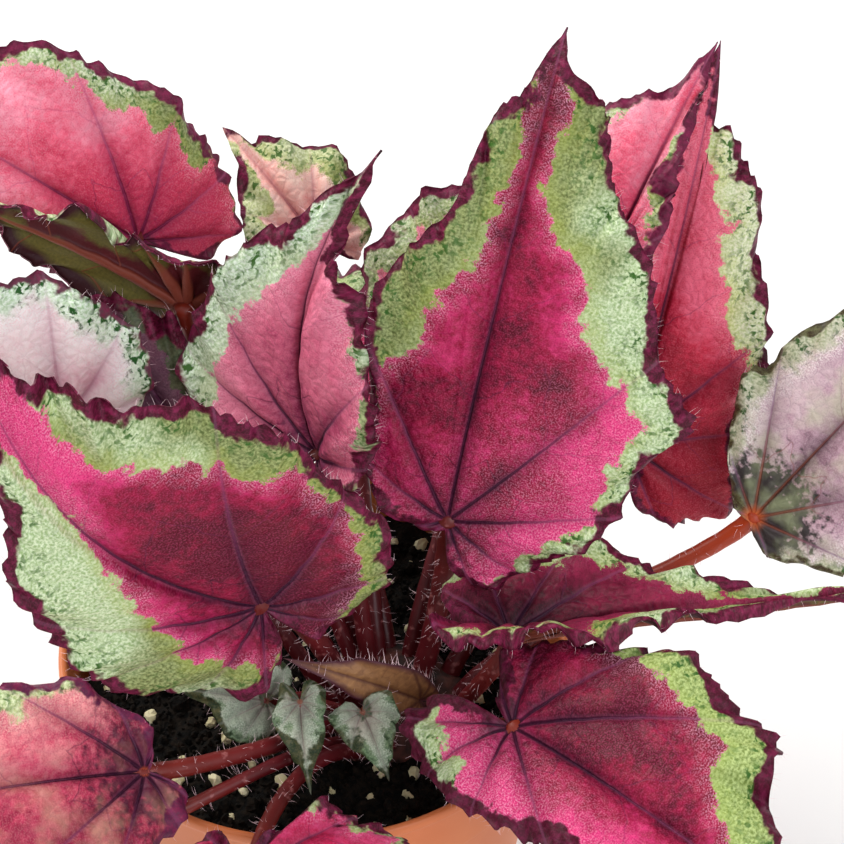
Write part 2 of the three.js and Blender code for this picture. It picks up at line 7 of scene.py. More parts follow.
# %% Load the frame
import math
from functools import partial
from types import SimpleNamespace

import bpy
import numpy as np
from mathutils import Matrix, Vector


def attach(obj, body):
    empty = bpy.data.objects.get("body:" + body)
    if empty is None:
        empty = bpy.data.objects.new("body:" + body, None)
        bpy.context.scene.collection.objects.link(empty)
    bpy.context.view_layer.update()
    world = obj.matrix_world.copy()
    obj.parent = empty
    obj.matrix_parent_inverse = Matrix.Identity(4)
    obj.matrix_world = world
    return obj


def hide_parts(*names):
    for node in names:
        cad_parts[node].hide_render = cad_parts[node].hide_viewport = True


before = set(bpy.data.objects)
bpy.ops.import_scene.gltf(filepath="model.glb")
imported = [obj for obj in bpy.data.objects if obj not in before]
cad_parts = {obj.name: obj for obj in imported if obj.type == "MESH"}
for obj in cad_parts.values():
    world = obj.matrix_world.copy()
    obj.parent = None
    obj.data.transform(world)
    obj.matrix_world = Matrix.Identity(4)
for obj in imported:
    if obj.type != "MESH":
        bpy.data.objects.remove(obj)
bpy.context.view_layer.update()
MM = 0.001

# %% [markdown]
# ## Camera first
# The photograph looks down on the plant at 43 degrees from the front with a long lens, so that
# lines hardly converge. The lens and the distance are set so that the pot's rim has its width in
# the picture. Making the camera first lets every later step be judged through it.

# %% Camera
def stand(item, place, target):
    """Puts a camera or a lamp in the scene and turns it to a target."""
    bpy.context.scene.collection.objects.link(item)
    item.location = place
    item.rotation_euler = (Vector(target) - Vector(place)).to_track_quat("-Z", "Y").to_euler()


CAMERA_PLACE = (0.02538, -0.40419, 0.55132)
CAMERA_TARGET = (0.02538, 0.03462, 0.14212)
camera_data = bpy.data.cameras.new("studio camera")
camera_data.lens = 108.9
camera_data.sensor_width = 36.0
camera = bpy.data.objects.new("studio camera", camera_data)
stand(camera, CAMERA_PLACE, CAMERA_TARGET)
bpy.context.scene.camera = camera
bpy.context.scene.view_settings.view_transform = "Standard"
looks = (Vector(CAMERA_PLACE) - Vector(CAMERA_TARGET)).normalized()
print("camera looks down by", round(math.degrees(math.asin(looks.z)), 1), "degrees")

# %% [markdown]
# ## One helper for all nodes
# Every material and every Geometry Nodes tree below is a chain of small nodes. A function for
# each kind of node would hide them, so one function adds any of them: it takes a kind from a
# short list, the values in the order of the list, and hands back the main output.

# %% Node helper
def linear(code):
    """A colour written as sRGB hex, turned into the linear values that the shaders use."""
    parts = [int(code[i:i + 2], 16) / 255 for i in (1, 3, 5)]
    return tuple(p / 12.92 if p <= 0.04045 else ((p + 0.055) / 1.055) ** 2.4 for p in parts) + (1.0,)


# Each kind: Blender's name, its inputs in the order of the values, its main output, its settings.
RANGE = ("Value", "From Min", "From Max", "To Min", "To Max")
KINDS = {
    "flat map": ("ShaderNodeUVMap", (), 0, {"uv_map": "flat"}),
    "place": ("ShaderNodeTexCoord", (), "Object", {}),
    "value": ("ShaderNodeAttribute", (), "Fac", {}),
    "noise": ("ShaderNodeTexNoise", ("Vector", "Scale", "Detail", "Distortion"), 0, {}),
    "range": ("ShaderNodeMapRange", RANGE, 0, {}),
    "soft range": ("ShaderNodeMapRange", RANGE, 0, {"interpolation_type": "SMOOTHSTEP"}),
    "ramp": ("ShaderNodeValToRGB", (0,), 0, {}),
    "mix": ("ShaderNodeMix", (0, 6, 7), 2, {"data_type": "RGBA"}),
    "bump": ("ShaderNodeBump", ("Height", "Strength", "Distance"), 0, {}),
    "skin": ("ShaderNodeBsdfPrincipled", ("Base Color", "Roughness", "Normal"), 0, {}),
    "output": ("ShaderNodeOutputMaterial", ("Surface",), 0, {}),
}


def put(tree, kind, *values, stops=(), **settings):
    """Adds a node and returns its main output. The kind is one of KINDS, a math operation in
    capitals, or Blender's name of the node. The values go to its inputs in order, and a last
    value that is a dict holds inputs by name. A socket is linked and any other value is set."""
    math_node = ("ShaderNodeMath", (0, 1, 2), 0, {"operation": kind})
    full_name, keys, out, preset = KINDS.get(kind, math_node if kind.isupper() else (kind, (), 0, {}))
    node = tree.nodes.new(full_name)
    for name, value in {**preset, **settings}.items():
        setattr(node, name, value)
    *values, named = values if values and isinstance(values[-1], dict) else (*values, {})
    for key, value in [*zip(keys, values), *named.items()]:
        if isinstance(value, bpy.types.NodeSocket):
            tree.links.new(value, node.inputs[key])
        else:
            is_colour = isinstance(value, str) and value.startswith("#")
            node.inputs[key].default_value = linear(value) if is_colour else value
    for k, (place, code) in enumerate(stops):
        elements = node.color_ramp.elements
        stop = elements[k] if k < 2 else elements.new(place)
        stop.position, stop.color = place, linear(code)
    return node.outputs[out] if node.outputs else None


def new_material(name):
    """An empty material, and put for its node tree."""
    material = bpy.data.materials.new(name)
    material.use_nodes = True
    material.node_tree.nodes.clear()
    return material, partial(put, material.node_tree)


print(len(KINDS), "kinds of node have a short name")

# %% [markdown]
# ## Floor and light
# Plain studio: a large near-white floor, a pale sky all round and two big soft lamps. The larger
# lamp stands behind and to the left, so that the far side of each leaf glows and the soil and the
# pot's front stay darker.

# %% Floor, sky and lamps
FLOOR_HALF = 3
FLOOR_LEVEL = -0.0003
LAMP_TARGET = (0.02, 0, 0.12)
LAMPS = [
    ("large back lamp", (-0.75, 0.55, 1.15), 0.9, 19.0, "#FFFDF8"),
    ("small front lamp", (0.55, -0.95, 0.95), 0.8, 8.0, "#F6F8FF"),
]

# Matt white board: no gloss, so that only soft shadows show on it.
floor_look, add = new_material("matt white studio floor")
add("output", add("skin", "#F4F3F1", 0.9))
corners = [(x * FLOOR_HALF, y * FLOOR_HALF, FLOOR_LEVEL) for x, y in ((-1, -1), (1, -1), (1, 1), (-1, 1))]
floor_mesh = bpy.data.meshes.new("floor")
floor_mesh.from_pydata(corners, [], [(0, 1, 2, 3)])
floor = bpy.data.objects.new("floor", floor_mesh)
floor.data.materials.append(floor_look)
bpy.context.scene.collection.objects.link(floor)

sky = bpy.data.worlds.new("pale studio")
sky.use_nodes = True
background = sky.node_tree.nodes["Background"]
background.inputs["Color"].default_value = linear("#EFF2F6")
background.inputs["Strength"].default_value = 0.66
bpy.context.scene.world = sky

for name, place, size, power, colour in LAMPS:
    lamp = bpy.data.lights.new(name, "AREA")
    lamp.size = size
    lamp.energy = power
    lamp.color = linear(colour)[:3]
    stand(bpy.data.objects.new(name, lamp), place, LAMP_TARGET)
print("studio: floor, sky and", len(LAMPS), "lamps")

# %% [markdown]
# ## The leaf table
# A rex begonia leaf is lopsided: a broad heart with a pointed tip, its stalk joined off centre.
# A leaf could be sculpted by hand, but twenty-three of them are better written down as numbers:
# where the stalk joins (hub), where the tip is, how the face is turned, the two half outlines in
# millimetres, and how the blade folds, curls and arches. The same numbers give the plain solids.

# %% Leaves and the sheath, in millimetres
# What a leaf has unless its row says otherwise.
COMMON_LEAF = dict(fold=[10, 10], curl=[20, 20], bend=20, bow=0, waves=9, ruffle=2, quilt=1.6)
LEAVES = [
    dict(name="centre", seed=6, hub=[31, -4, 148], tip=[56, 45, 246], face=[-0.16, -0.8, 0.6],
         foot=[1, 20], stalk=2.6, fold=[14, 6], bend=16,
         left=[[3, 105], [6, 97], [10, 91], [11.5, 84], [15, 74], [20, 62], [26, 48], [24, 33], [22, 22],
               [21, 10], [15, 1], [7, -3]],
         right=[[4, 104], [10, 98], [16, 87], [24, 77], [33, 62], [38, 49], [47, 37], [38, 25], [37, 13],
                [28, 1], [14, -12], [4, -11]]),
    dict(name="front_left", seed=13, hub=[-9, -32, 150], tip=[-64, -32, 230], face=[-0.1, -0.8, 0.6],
         foot=[2, 214], stalk=2.5, lean=[-3, 3, 25], bow=-0.12,
         left=[[2, 90], [4, 80], [9, 66], [15.5, 54], [20, 41], [26, 26], [30, 11], [27, -4], [15, -15],
               [4, -13]],
         right=[[6, 90], [11, 81], [17, 74], [20, 66], [30, 59], [35, 51], [43, 39], [42, 27], [37, 13],
                [30, -3], [22, -14], [9, -17], [2, -11]]),
    dict(name="inner_left", seed=4, hub=[2, 6, 159], tip=[18, 24, 230], face=[-0.5, -0.8, 0.6],
         foot=[1, 130], stalk=2.2, fold=[15, 22], curl=[10, 30], bow=-0.1,
         left=[[2, 68], [6, 61], [12, 53], [16, 45], [24, 30], [29, 20], [30, 9], [24, -1], [13, -8],
               [4, -7]],
         right=[[3, 64], [5, 53], [13, 42], [20, 26], [21, 15], [17, 4], [9, -6], [3, -6]]),
    dict(name="upper_left", seed=1, hub=[-40, 54, 181], tip=[-90, 55, 220], face=[0.1, -0.75, 0.7],
         foot=[3, 118], stalk=2.3, bend=30,
         left=[[5, 57], [10, 45], [14, 33], [16, 20], [14, 8], [9, -4], [4, -6]],
         right=[[8, 57], [19, 49.5], [28, 42], [30.5, 27], [30.5, 9], [25.5, -7], [16, -19], [6, -20]]),
    dict(name="upper_right", seed=8, hub=[73, 30, 140], tip=[92.4, 75.6, 221.5], face=[0.1, -0.85, 0.5],
         foot=[3, 28], stalk=2.3,
         left=[[4, 82], [6.5, 71], [10, 58], [14.5, 44], [20, 26], [20, 10], [14, -6], [6, -12]],
         right=[[2, 84], [2.8, 77.5], [8.5, 74], [14.5, 65.5], [17, 56], [20.5, 48], [26, 35], [27, 26],
                [24, 16], [25, 4], [30, -12], [18, -17], [7, -16]]),
    dict(name="front_right", seed=11, hub=[45, -44, 125], tip=[104, -92, 117], face=[0.1, -0.55, 0.85],
         foot=[3, 308], stalk=2.4, fold=[8, 16], bend=30,
         left=[[5, 70], [12, 60], [20, 56], [29, 50], [30, 40], [32, 28], [30, 13], [22, -2], [13, -11],
               [4, -8]],
         right=[[5, 68], [12, 54], [17, 40], [19, 27], [21, 14], [22, 2], [18, -12], [10, -21], [2, -19]]),
    dict(name="right", seed=9, hub=[101, 7, 138], tip=[148, 39, 176], face=[-0.1, -0.65, 0.75],
         foot=[3, 1], stalk=2.1,
         left=[[6, 60], [15, 50], [21, 38], [22, 27], [21, 17], [16, 9], [11, 4], [5, -1]],
         right=[[6, 58], [16, 44], [22, 30], [25, 16], [24, 6], [14, -1], [6, -4]]),
    dict(name="edge_on", seed=10, hub=[45, -22, 129.5], tip=[126, -23, 141.5], face=[0, 0.35, 0.95],
         foot=[3, 338], stalk=2.1, fold=[30, 30], bend=-10,
         left=[[3, 76], [6, 60], [10, 47], [18, 34], [25, 20], [24, 6], [20, -8], [13, -16], [4, -12]],
         right=[[3, 76], [6, 60], [8, 46], [12, 34], [16, 20], [19, 6], [17, -10], [11, -17], [4, -13]]),
    dict(name="low_left", seed=12, hub=[-35, -50, 117], tip=[-88, -66, 124], face=[0.1, -0.5, 0.85],
         foot=[3, 200], stalk=2.1, lean=[-4, -16, 18.5], arrive=[-0.85, -0.3, 0.3], bend=30,
         left=[[6, 48], [14, 38], [19, 26], [20, 14], [18, 2], [13, -5], [6, -9]],
         right=[[6, 48], [14, 40], [22, 31], [22, 20], [19, 10], [13, 2], [6, -3]]),
    dict(name="front", seed=15, hub=[-11, -76, 114], tip=[4, -140, 93], face=[0.1, -0.5, 0.85],
         foot=[3, 250], stalk=1.9, lean=[-14, -9, 19], arrive=[0.05, -0.95, 0.3], bend=30,
         left=[[6, 60], [16, 46], [26, 30], [32, 14], [33, 0], [27, -7], [20, -12], [11, -10], [3, -7]],
         right=[[6, 60], [16, 46], [24, 30], [26, 14], [22, 0], [12, -10], [4, -9]]),
    dict(name="left", seed=14, hub=[-52, -2, 176], tip=[-80, 5, 210], face=[-0.2, -0.7, 0.7],
         foot=[3, 176], stalk=1.9,
         left=[[5, 38], [12, 28], [16, 16], [16, 4], [10, -7], [4, -7]],
         right=[[5, 38], [14, 34], [22, 27], [26, 15], [25, 5], [21, -5], [12, -11], [4, -9]]),
    dict(name="back", seed=3, hub=[0, 68, 170], tip=[-22, 87, 188], face=[0.2, -0.7, 0.8], foot=[2, 104],
         stalk=1.9,
         left=[[3, 26], [8, 20], [12, 12], [14, 2], [10, -8], [4, -9]],
         right=[[3, 28], [6, 26], [10, 21], [16.5, 14.5], [17.5, 7], [13, -3], [9.5, -8], [4, -9]]),
    dict(name="inner_back", seed=5, hub=[38, 44, 160], tip=[42, 70, 190], face=[-0.3, -0.8, 0.5],
         foot=[2, 70], stalk=1.9, bend=10,
         left=[[6, 36], [14, 32], [22, 26], [28, 16], [28, 4], [18, -8], [6, -9]],
         right=[[6, 34], [14, 28], [20, 18], [22, 6], [16, -7], [6, -9]]),
    dict(name="tip_right", seed=7, hub=[66, 34, 188], tip=[91.2, 65, 227.8], face=[-0.45, -0.8, 0.5],
         foot=[2, 44], stalk=1.9, arrive=[0.6, 0, 0.8], fold=[20, 20], bend=10,
         left=[[3, 47], [9, 39.5], [17, 33], [16, 25], [15, 12], [10, 1], [4, -4]],
         right=[[2.4, 46], [3.6, 40], [5.5, 32], [7, 25], [9, 18], [9, 6], [4, -4]]),
    dict(name="underside_left", seed=2, hub=[-27, 30, 181], tip=[-76, 29, 210], face=[-0.2, 0.95, 0.3],
         foot=[2, 136], stalk=1.9, lean=[-9, 16, 32], arrive=[-0.1, 0.05, 1], fold=[-6, 10],
         curl=[6, 20], bend=10,
         left=[[4, 46], [11, 38], [13, 30], [11, 24], [10.5, 19], [13, 13], [16, 5], [13, -4], [5, -6]],
         right=[[3, 46], [8, 38], [11, 26], [11, 12], [8, 0], [4, -5]]),
    dict(name="inner_shaded", seed=17, hub=[-24, 15, 149], tip=[-48, 32.5, 183], face=[-0.2, -0.7, 0.7],
         foot=[2, 165], stalk=1.5, wide=[0.5, 0.5],
         right=[[6, 42], [10, 37], [12, 31], [12, 23], [10, 12], [7, -1], [3, -5]]),
    dict(name="small_shaded", seed=16, hub=[-10, -22, 108], tip=[-30, -22, 112], face=[0, -0.6, 0.8],
         foot=[2, 190], stalk=1.3, lean=[-3, 0, 14], waves=5, ruffle=1, quilt=0.6, wide=[0.5, 0.5]),
    dict(name="young_left", seed=18, hub=[-2, -27.5, 114], tip=[1, -46, 104.5], face=[-0.1, -0.6, 0.8],
         foot=[2, 248], stalk=1.2, lean=[-2, -3, 14], bend=40, waves=5, ruffle=1, quilt=0.6,
         wide=[0.28, 0.28]),
    dict(name="young_right", seed=19, hub=[12, -28, 111], tip=[18, -43, 105], face=[0.1, -0.6, 0.8],
         foot=[3, 279], stalk=1.2, lean=[-1, -6, 12], bend=30, waves=5, ruffle=1, quilt=0.6,
         wide=[0.42, 0.42]),
    dict(name="rear", seed=20, hub=[2, 60, 130], tip=[-4, 118, 128], face=[0, 0.35, 0.9], foot=[3, 92],
         stalk=2, bend=30, wide=[0.44, 0.4]),
    dict(name="rear_left", seed=21, hub=[-38, 48, 122], tip=[-84, 84, 118], face=[-0.2, 0.35, 0.9],
         foot=[3, 143], stalk=2, bend=30, wide=[0.4, 0.44]),
    dict(name="rear_right", seed=22, hub=[48, 54, 122], tip=[82, 98, 112], face=[0.2, 0.35, 0.9],
         foot=[3, 60], stalk=2, bend=30, wide=[0.42, 0.4]),
    dict(name="low_front_left", seed=23, hub=[-62, -66, 108], tip=[-88, -98, 87],
         face=[-0.35, -0.4, 0.85], foot=[3, 225], stalk=1.6, lean=[-12, -24, 32],
         arrive=[-0.93, -0.2, 0.25], bend=30, wide=[0.36, 0.34]),
]
BRACTS = [
    dict(name="sheath", seed=31, hub=[25, -15, 100.1], tip=[-6, -19, 119], face=[0, -0.6, 0.8],
         fold=[5, 35], bend=50, waves=4, ruffle=0.6, quilt=0,
         left=[[2, 28], [4, 21], [5, 12], [4.5, 2], [3, -4]],
         right=[[2.5, 28], [5.5, 21], [7, 12], [5.5, 2], [3, -4]]),
]
print(len(LEAVES), "leaves and", len(BRACTS), "sheath")

# %% [markdown]
# ## Where each leaf carries its colours
# Every leaf has a coloured heart, a silvery green band and a dark frilled margin, but the width
# of the band differs from side to side. For each leaf this cell names its colouring and gives the
# distance from the margin to the inner edge of the band, in mm, from notch over tip to notch.

# %% Colouring and bands
NONE = -5
EVEN = [(-1, NONE), (-0.88, NONE), (-0.78, 3), (-0.6, 8), (-0.4, 9), (-0.2, 7), (-0.09, 3), (-0.04, NONE),
        (0.04, NONE), (0.09, 3), (0.2, 7), (0.4, 9), (0.6, 8), (0.78, 3), (0.88, NONE), (1, NONE)]


def even(scale):
    """The common band, its width times a scale."""
    return [(t, w * scale if w > 0 else w) for t, w in EVEN]


BANDS = {
    "centre": ("crimson", [
        (-1, NONE), (-0.86, NONE), (-0.8, 1), (-0.7, 1.5), (-0.62, 3), (-0.59, 8), (-0.56, 12.5),
        (-0.5, 12), (-0.43, 11.5), (-0.4, 8), (-0.36, 9), (-0.3, 8.5), (-0.24, 6.5), (-0.18, 5),
        (-0.14, 3.5), (-0.1, 1), (-0.06, NONE), (0.07, NONE), (0.1, 3), (0.15, 6), (0.22, 9),
        (0.25, 12), (0.262, 15), (0.275, 9), (0.3, 12), (0.36, 14), (0.4, 15), (0.42, 12), (0.45, 10.5),
        (0.51, 11), (0.56, 8), (0.65, 6.5), (0.71, 5), (0.78, 6), (0.83, 4), (0.88, 0), (0.93, NONE),
        (1, NONE)]),
    "front_left": ("crimson", [
        (-1, NONE), (-0.9, 1), (-0.84, 7), (-0.76, 12), (-0.65, 16), (-0.55, 18), (-0.45, 18),
        (-0.37, 18), (-0.31, 13), (-0.26, 8), (-0.2, 4), (-0.12, 2), (-0.06, NONE), (0.05, NONE),
        (0.13, NONE), (0.16, 4), (0.2, 7), (0.27, 10.5), (0.35, 12), (0.42, 12), (0.475, 13),
        (0.5, 4.5), (0.56, 3), (0.65, 4), (0.7, 6), (0.77, 8), (0.82, 7), (0.87, 1), (0.92, NONE),
        (1, NONE)]),
    "inner_left": ("rose", [
        (-1, NONE), (-0.75, NONE), (-0.68, 5), (-0.62, 9), (-0.5, 9.5), (-0.42, 8.5), (-0.35, 11),
        (-0.28, 10), (-0.2, 8.5), (-0.12, 6.5), (-0.05, 4.5), (0, 2), (0.08, 1), (0.15, NONE), (0.3, 1),
        (0.4, 3), (0.5, 3.5), (0.62, 3), (0.75, 1), (0.85, NONE), (1, NONE)]),
    "upper_left": ("coral", [
        (-1, NONE), (-0.6, NONE), (-0.4, 1), (-0.2, 2), (-0.05, 1), (0.05, 0), (0.18, 2), (0.26, 4),
        (0.34, 5.5), (0.42, 8), (0.5, 7.5), (0.62, 7), (0.66, 2), (0.75, 1), (0.83, NONE), (1, NONE)]),
    "upper_right": ("scarlet", [
        (-1, NONE), (-0.8, NONE), (-0.6, 4), (-0.4, 5), (-0.3, NONE), (0, NONE), (0.15, NONE),
        (0.19, 5), (0.22, 8), (0.26, 7), (0.3, 10), (0.35, 6), (0.4, 9.5), (0.48, 9), (0.54, 7),
        (0.6, 4), (0.66, 1), (0.75, NONE), (1, NONE)]),
    "front_right": ("bordered", [
        (-1, NONE), (-0.75, NONE), (-0.66, 4), (-0.6, 7), (-0.53, 9), (-0.45, 10), (-0.3, 11),
        (-0.22, 10.5), (-0.14, 11), (-0.09, 13), (-0.04, 11), (0, 9), (0.1, 6), (0.25, 3), (0.4, 1),
        (0.5, NONE), (0.58, 1), (0.64, 7), (0.7, 8.5), (0.76, 8), (0.81, 4), (0.87, NONE), (1, NONE)]),
    "right": ("silver", even(0.65)),
    "edge_on": ("wine", even(0.8)),
    "low_left": ("salmon", [
        (-1, NONE), (-0.2, NONE), (-0.1, 2), (0, 3), (0.15, 5), (0.3, 6), (0.4, 7), (0.48, 5), (0.6, 2),
        (0.7, NONE), (1, NONE)]),
    "front": ("magenta", even(0.45)),
    "left": ("pale", even(0.75)),
    "back": ("blush", even(0.8)),
    "inner_back": ("coral", even(1.0)),
    "tip_right": ("coral", [
        (-1, NONE), (-0.7, NONE), (-0.5, 4), (-0.42, 4.5), (-0.34, 4), (-0.29, 1), (-0.24, NONE),
        (0.3, NONE), (0.36, 3), (0.5, 5), (0.62, 5), (0.72, 3), (0.8, NONE), (1, NONE)]),
    "underside_left": ("crimson", even(1.0)),
    "inner_shaded": ("shaded", even(0.6)),
    "small_shaded": ("young", even(0.4)),
    "young_left": ("young", even(0.35)),
    "young_right": ("young", even(0.35)),
    "rear": ("crimson", even(1.0)),
    "rear_left": ("crimson", even(0.9)),
    "rear_right": ("coral", even(1.0)),
    "low_front_left": ("salmon", even(0.6)),
}
# Which way the painted light falls on each heart, painting it paler on that side and darker on the other, as
# a direction on the flat leaf (across, towards the tip).
LIT = {
    "centre": (0.8, -0.7), "front_left": (-0.7, 0.7), "front_right": (1.7, -0.4), "inner_left": (-0.7, 0.3),
    "upper_left": (-0.2, 0.8), "upper_right": (0, 0.9), "low_left": (0.7, 0), "tip_right": (-0.6, 0.5)}
print("colourings:", sorted({colouring for colouring, _ in BANDS.values()}))

# %% [markdown]
# ## The shape of a blade
# The outline is a smooth curve through the table's points. Straight rays run from the hub to the
# outline, and any point of the blade is named by its ray (t, 0 at the tip and 1 or -1 at the
# notch) and its share of the way out. This cell holds the small tools for such curves.

# %% Curves
FULL_TURN = 2 * np.pi


def limit(value):
    """A value kept between 0 and 1."""
    return np.clip(value, 0, 1)


def seeded(seed, count):
    """A repeatable number from 0 to 1."""
    x = math.sin(seed * 12.9898 + count * 78.233) * 43758.5453
    return x - math.floor(x)


def unit(v):
    """A vector made one long."""
    v = np.asarray(v, float)
    return v / np.linalg.norm(v)


def path_lengths(line):
    """How far each point of a line is from its start, along the line."""
    return np.concatenate([[0], np.cumsum(np.linalg.norm(np.diff(line, axis=0), axis=1))])


def smooth_curve(points, share):
    """A curve through all the points, at shares from 0 to 1 (Catmull-Rom)."""
    points = np.asarray(points, float)
    last = len(points) - 1
    place = limit(share) * last
    i = np.minimum(np.floor(place).astype(int), last)
    w = (place - i)[:, None]
    before, here = points[np.maximum(i - 1, 0)], points[i]
    after, beyond = points[np.minimum(i + 1, last)], points[np.minimum(i + 2, last)]
    v0, v1 = (after - before) / 2, (beyond - here) / 2
    bent = (2 * here - 2 * after + v0 + v1) * w**3 + (3 * after - 3 * here - 2 * v0 - v1) * w**2
    return bent + v0 * w + here


print("a seeded number:", round(seeded(1, 1), 3))

# %% [markdown]
# ## From the table to a leaf
# Before a blade can be built, its leaf needs a frame (along, across and normal), the length of
# its arched midrib, its two half outlines in mm and the rays on which its veins lie. Where a ray
# only grazes the outline, teeth and frills would fold over each other, so each place on the rim
# also gets a value for how freely the rays meet it.

# %% Outline and frame of a leaf
COMMON_SIDE = np.array([
    [0.05, 0.915], [0.17, 0.8], [0.4, 0.655], [0.7, 0.49], [0.93, 0.3],
    [1, 0.1], [0.93, -0.085], [0.68, -0.205], [0.36, -0.215], [0.11, -0.13]])
NOTCH_DEPTH = 0.02
VEIN_ANGLES = [-142, -108, -62, -33, 0, 36, 70, 112, 145]
# Waves of the outline: their size as a share of the radius, and their number of half turns.
OUTLINE_WAVES = ((0.045, 5), (0.035, 9), (0.02, 15))
CALM_ENDS = 0.12
RIM_SAMPLES = 2001
SMOOTHED_OVER = 81


def outline(leaf, t):
    """Flat outline points in mm for t from -1 to 1."""
    u = np.abs(t)
    right = smooth_curve(leaf["sides"][1], u)
    left = smooth_curve(leaf["sides"][0], u) * [-1, 1]
    flat = np.where((t >= 0)[:, None], right, left)
    turn = np.pi * t
    fade = limit(u / CALM_ENDS) * limit((1 - u) / CALM_ENDS)
    wave = sum(size * np.sin(count * turn + FULL_TURN * seeded(leaf["seed"], k))
               for k, (size, count) in enumerate(OUTLINE_WAVES, start=1))
    return flat * (1 + leaf["wobble"] * fade * wave)[:, None]


def rim_facts(leaf):
    """Samples of the rim: their t and place, the length so far, the same length counted less
    where rays graze the rim, and from 0 to 1 how freely the rays meet it."""
    t = np.linspace(-1, 1, RIM_SAMPLES)
    rim = outline(leaf, t)
    arc = path_lengths(rim)
    along_rim = np.gradient(rim, axis=0)
    size = np.linalg.norm(rim, axis=1) * np.linalg.norm(along_rim, axis=1)
    meeting = np.abs(rim[:, 0] * along_rim[:, 1] - rim[:, 1] * along_rim[:, 0]) / np.maximum(size, 1e-6)
    weights = np.ones(SMOOTHED_OVER) / SMOOTHED_OVER
    meeting = np.convolve(np.pad(meeting, SMOOTHED_OVER // 2, "edge"), weights, "valid")
    steps = np.cumsum(np.diff(arc, prepend=0) * np.clip(1.6 * meeting, 0.25, 1))
    return SimpleNamespace(t=t, rim=rim, arc=arc, steps=steps, free=limit(1.7 * meeting - 0.15))


def prepared(leaf):
    """A leaf of the table with all that its surface needs."""
    leaf = {**COMMON_LEAF, **leaf}
    hub = np.array(leaf["hub"], float)
    along = np.array(leaf["tip"], float) - hub
    chord = np.linalg.norm(along)
    along = unit(along)
    face = np.array(leaf["face"], float)
    normal = unit(face - face.dot(along) * along)
    bend = math.radians(leaf["bend"])
    length = chord * bend / 2 / math.sin(bend / 2)
    sides = []
    for side, given in enumerate((leaf.get("left"), leaf.get("right"))):
        middle = np.array(given, float) if given else COMMON_SIDE * [leaf["wide"][side] * length, length]
        sides.append(np.vstack([[0, length], middle, [0, -NOTCH_DEPTH * length]]))
    leaf.update(hub=hub, along=along, normal=normal, across=np.cross(along, normal), bend=bend,
                length=length, sides=sides, half=[s[:, 0].max() for s in sides],
                wobble=0.5 if "left" in leaf else 1.0,
                under=normal * math.cos(bend / 2) - along * math.sin(bend / 2))
    t = np.linspace(-0.995, 0.995, 1201)
    flat = outline(leaf, t)
    angle = np.degrees(np.unwrap(np.arctan2(flat[:, 0], flat[:, 1])))
    leaf["veins"] = [0.0 if v == 0 else float(np.interp(v, angle, t)) for v in VEIN_ANGLES]
    leaf["dense"] = rim_facts(leaf)
    return leaf


LEAVES = [prepared(leaf) for leaf in LEAVES]
BRACTS = [prepared(leaf) for leaf in BRACTS]
print("longest blade", round(max(leaf["length"] for leaf in LEAVES)), "mm, margin of the centre leaf",
      round(LEAVES[0]["dense"].arc[-1]), "mm")

# %% [markdown]
# ## Lifting the flat leaf
# The flat leaf is lifted between its veins, waved towards the margin, curled across and arched
# along the midrib, as the plain solid is. On top of that come what the solid is too coarse for:
# teeth, a tight frill and a margin that rolls over. A displacement texture could do the small
# forms, but formulas on the distance along the margin keep each tooth square to its own edge.

# %% Relief of a leaf
SIDE_VEIN_STEP = 8.5
TOOTH_MM = 5.3
FRILL_MM = (12.5, 6.4)
QUILT_LIFT = 4
FUNNEL_DEPTH, FUNNEL_REACH = 3, 14
MARGIN_FROM = 0.72
ROLL_FROM = 0.93


def vein_fields(flat):
    """For flat points: how far along a main vein the side vein through the point leaves it, and
    the distance to the nearest main vein, both in mm."""
    r = np.linalg.norm(flat, axis=1)
    angle = np.degrees(np.arctan2(flat[:, 0], flat[:, 1]))
    off = np.min(np.abs(angle[:, None] - np.array(VEIN_ANGLES)), axis=1)
    off = np.radians(np.minimum(off, 60))
    return r * (np.cos(off) - 0.85 * np.sin(off)), r * np.sin(off)


def toothed(leaf, t, share, arc, size):
    """Flat points in mm, with teeth of uneven depth along the margin."""
    rim = outline(leaf, t)
    radius = np.linalg.norm(rim, axis=1)
    s = leaf["seed"]
    uneven = 0.8 * np.sin(arc / 9 + s) + 0.3 * np.sin(arc / 3.1 + 2 * s)
    saw = 1 - np.abs(2 * ((arc / TOOTH_MM + uneven) % 1) - 1)
    tooth = size * (1.7 * saw**1.4 - 0.7) * (0.3 + 0.8 * np.abs(np.sin(arc / 11 + 2 * s)))
    return rim * (share * (1 + tooth / np.maximum(radius, 4) * share**7))[:, None], radius


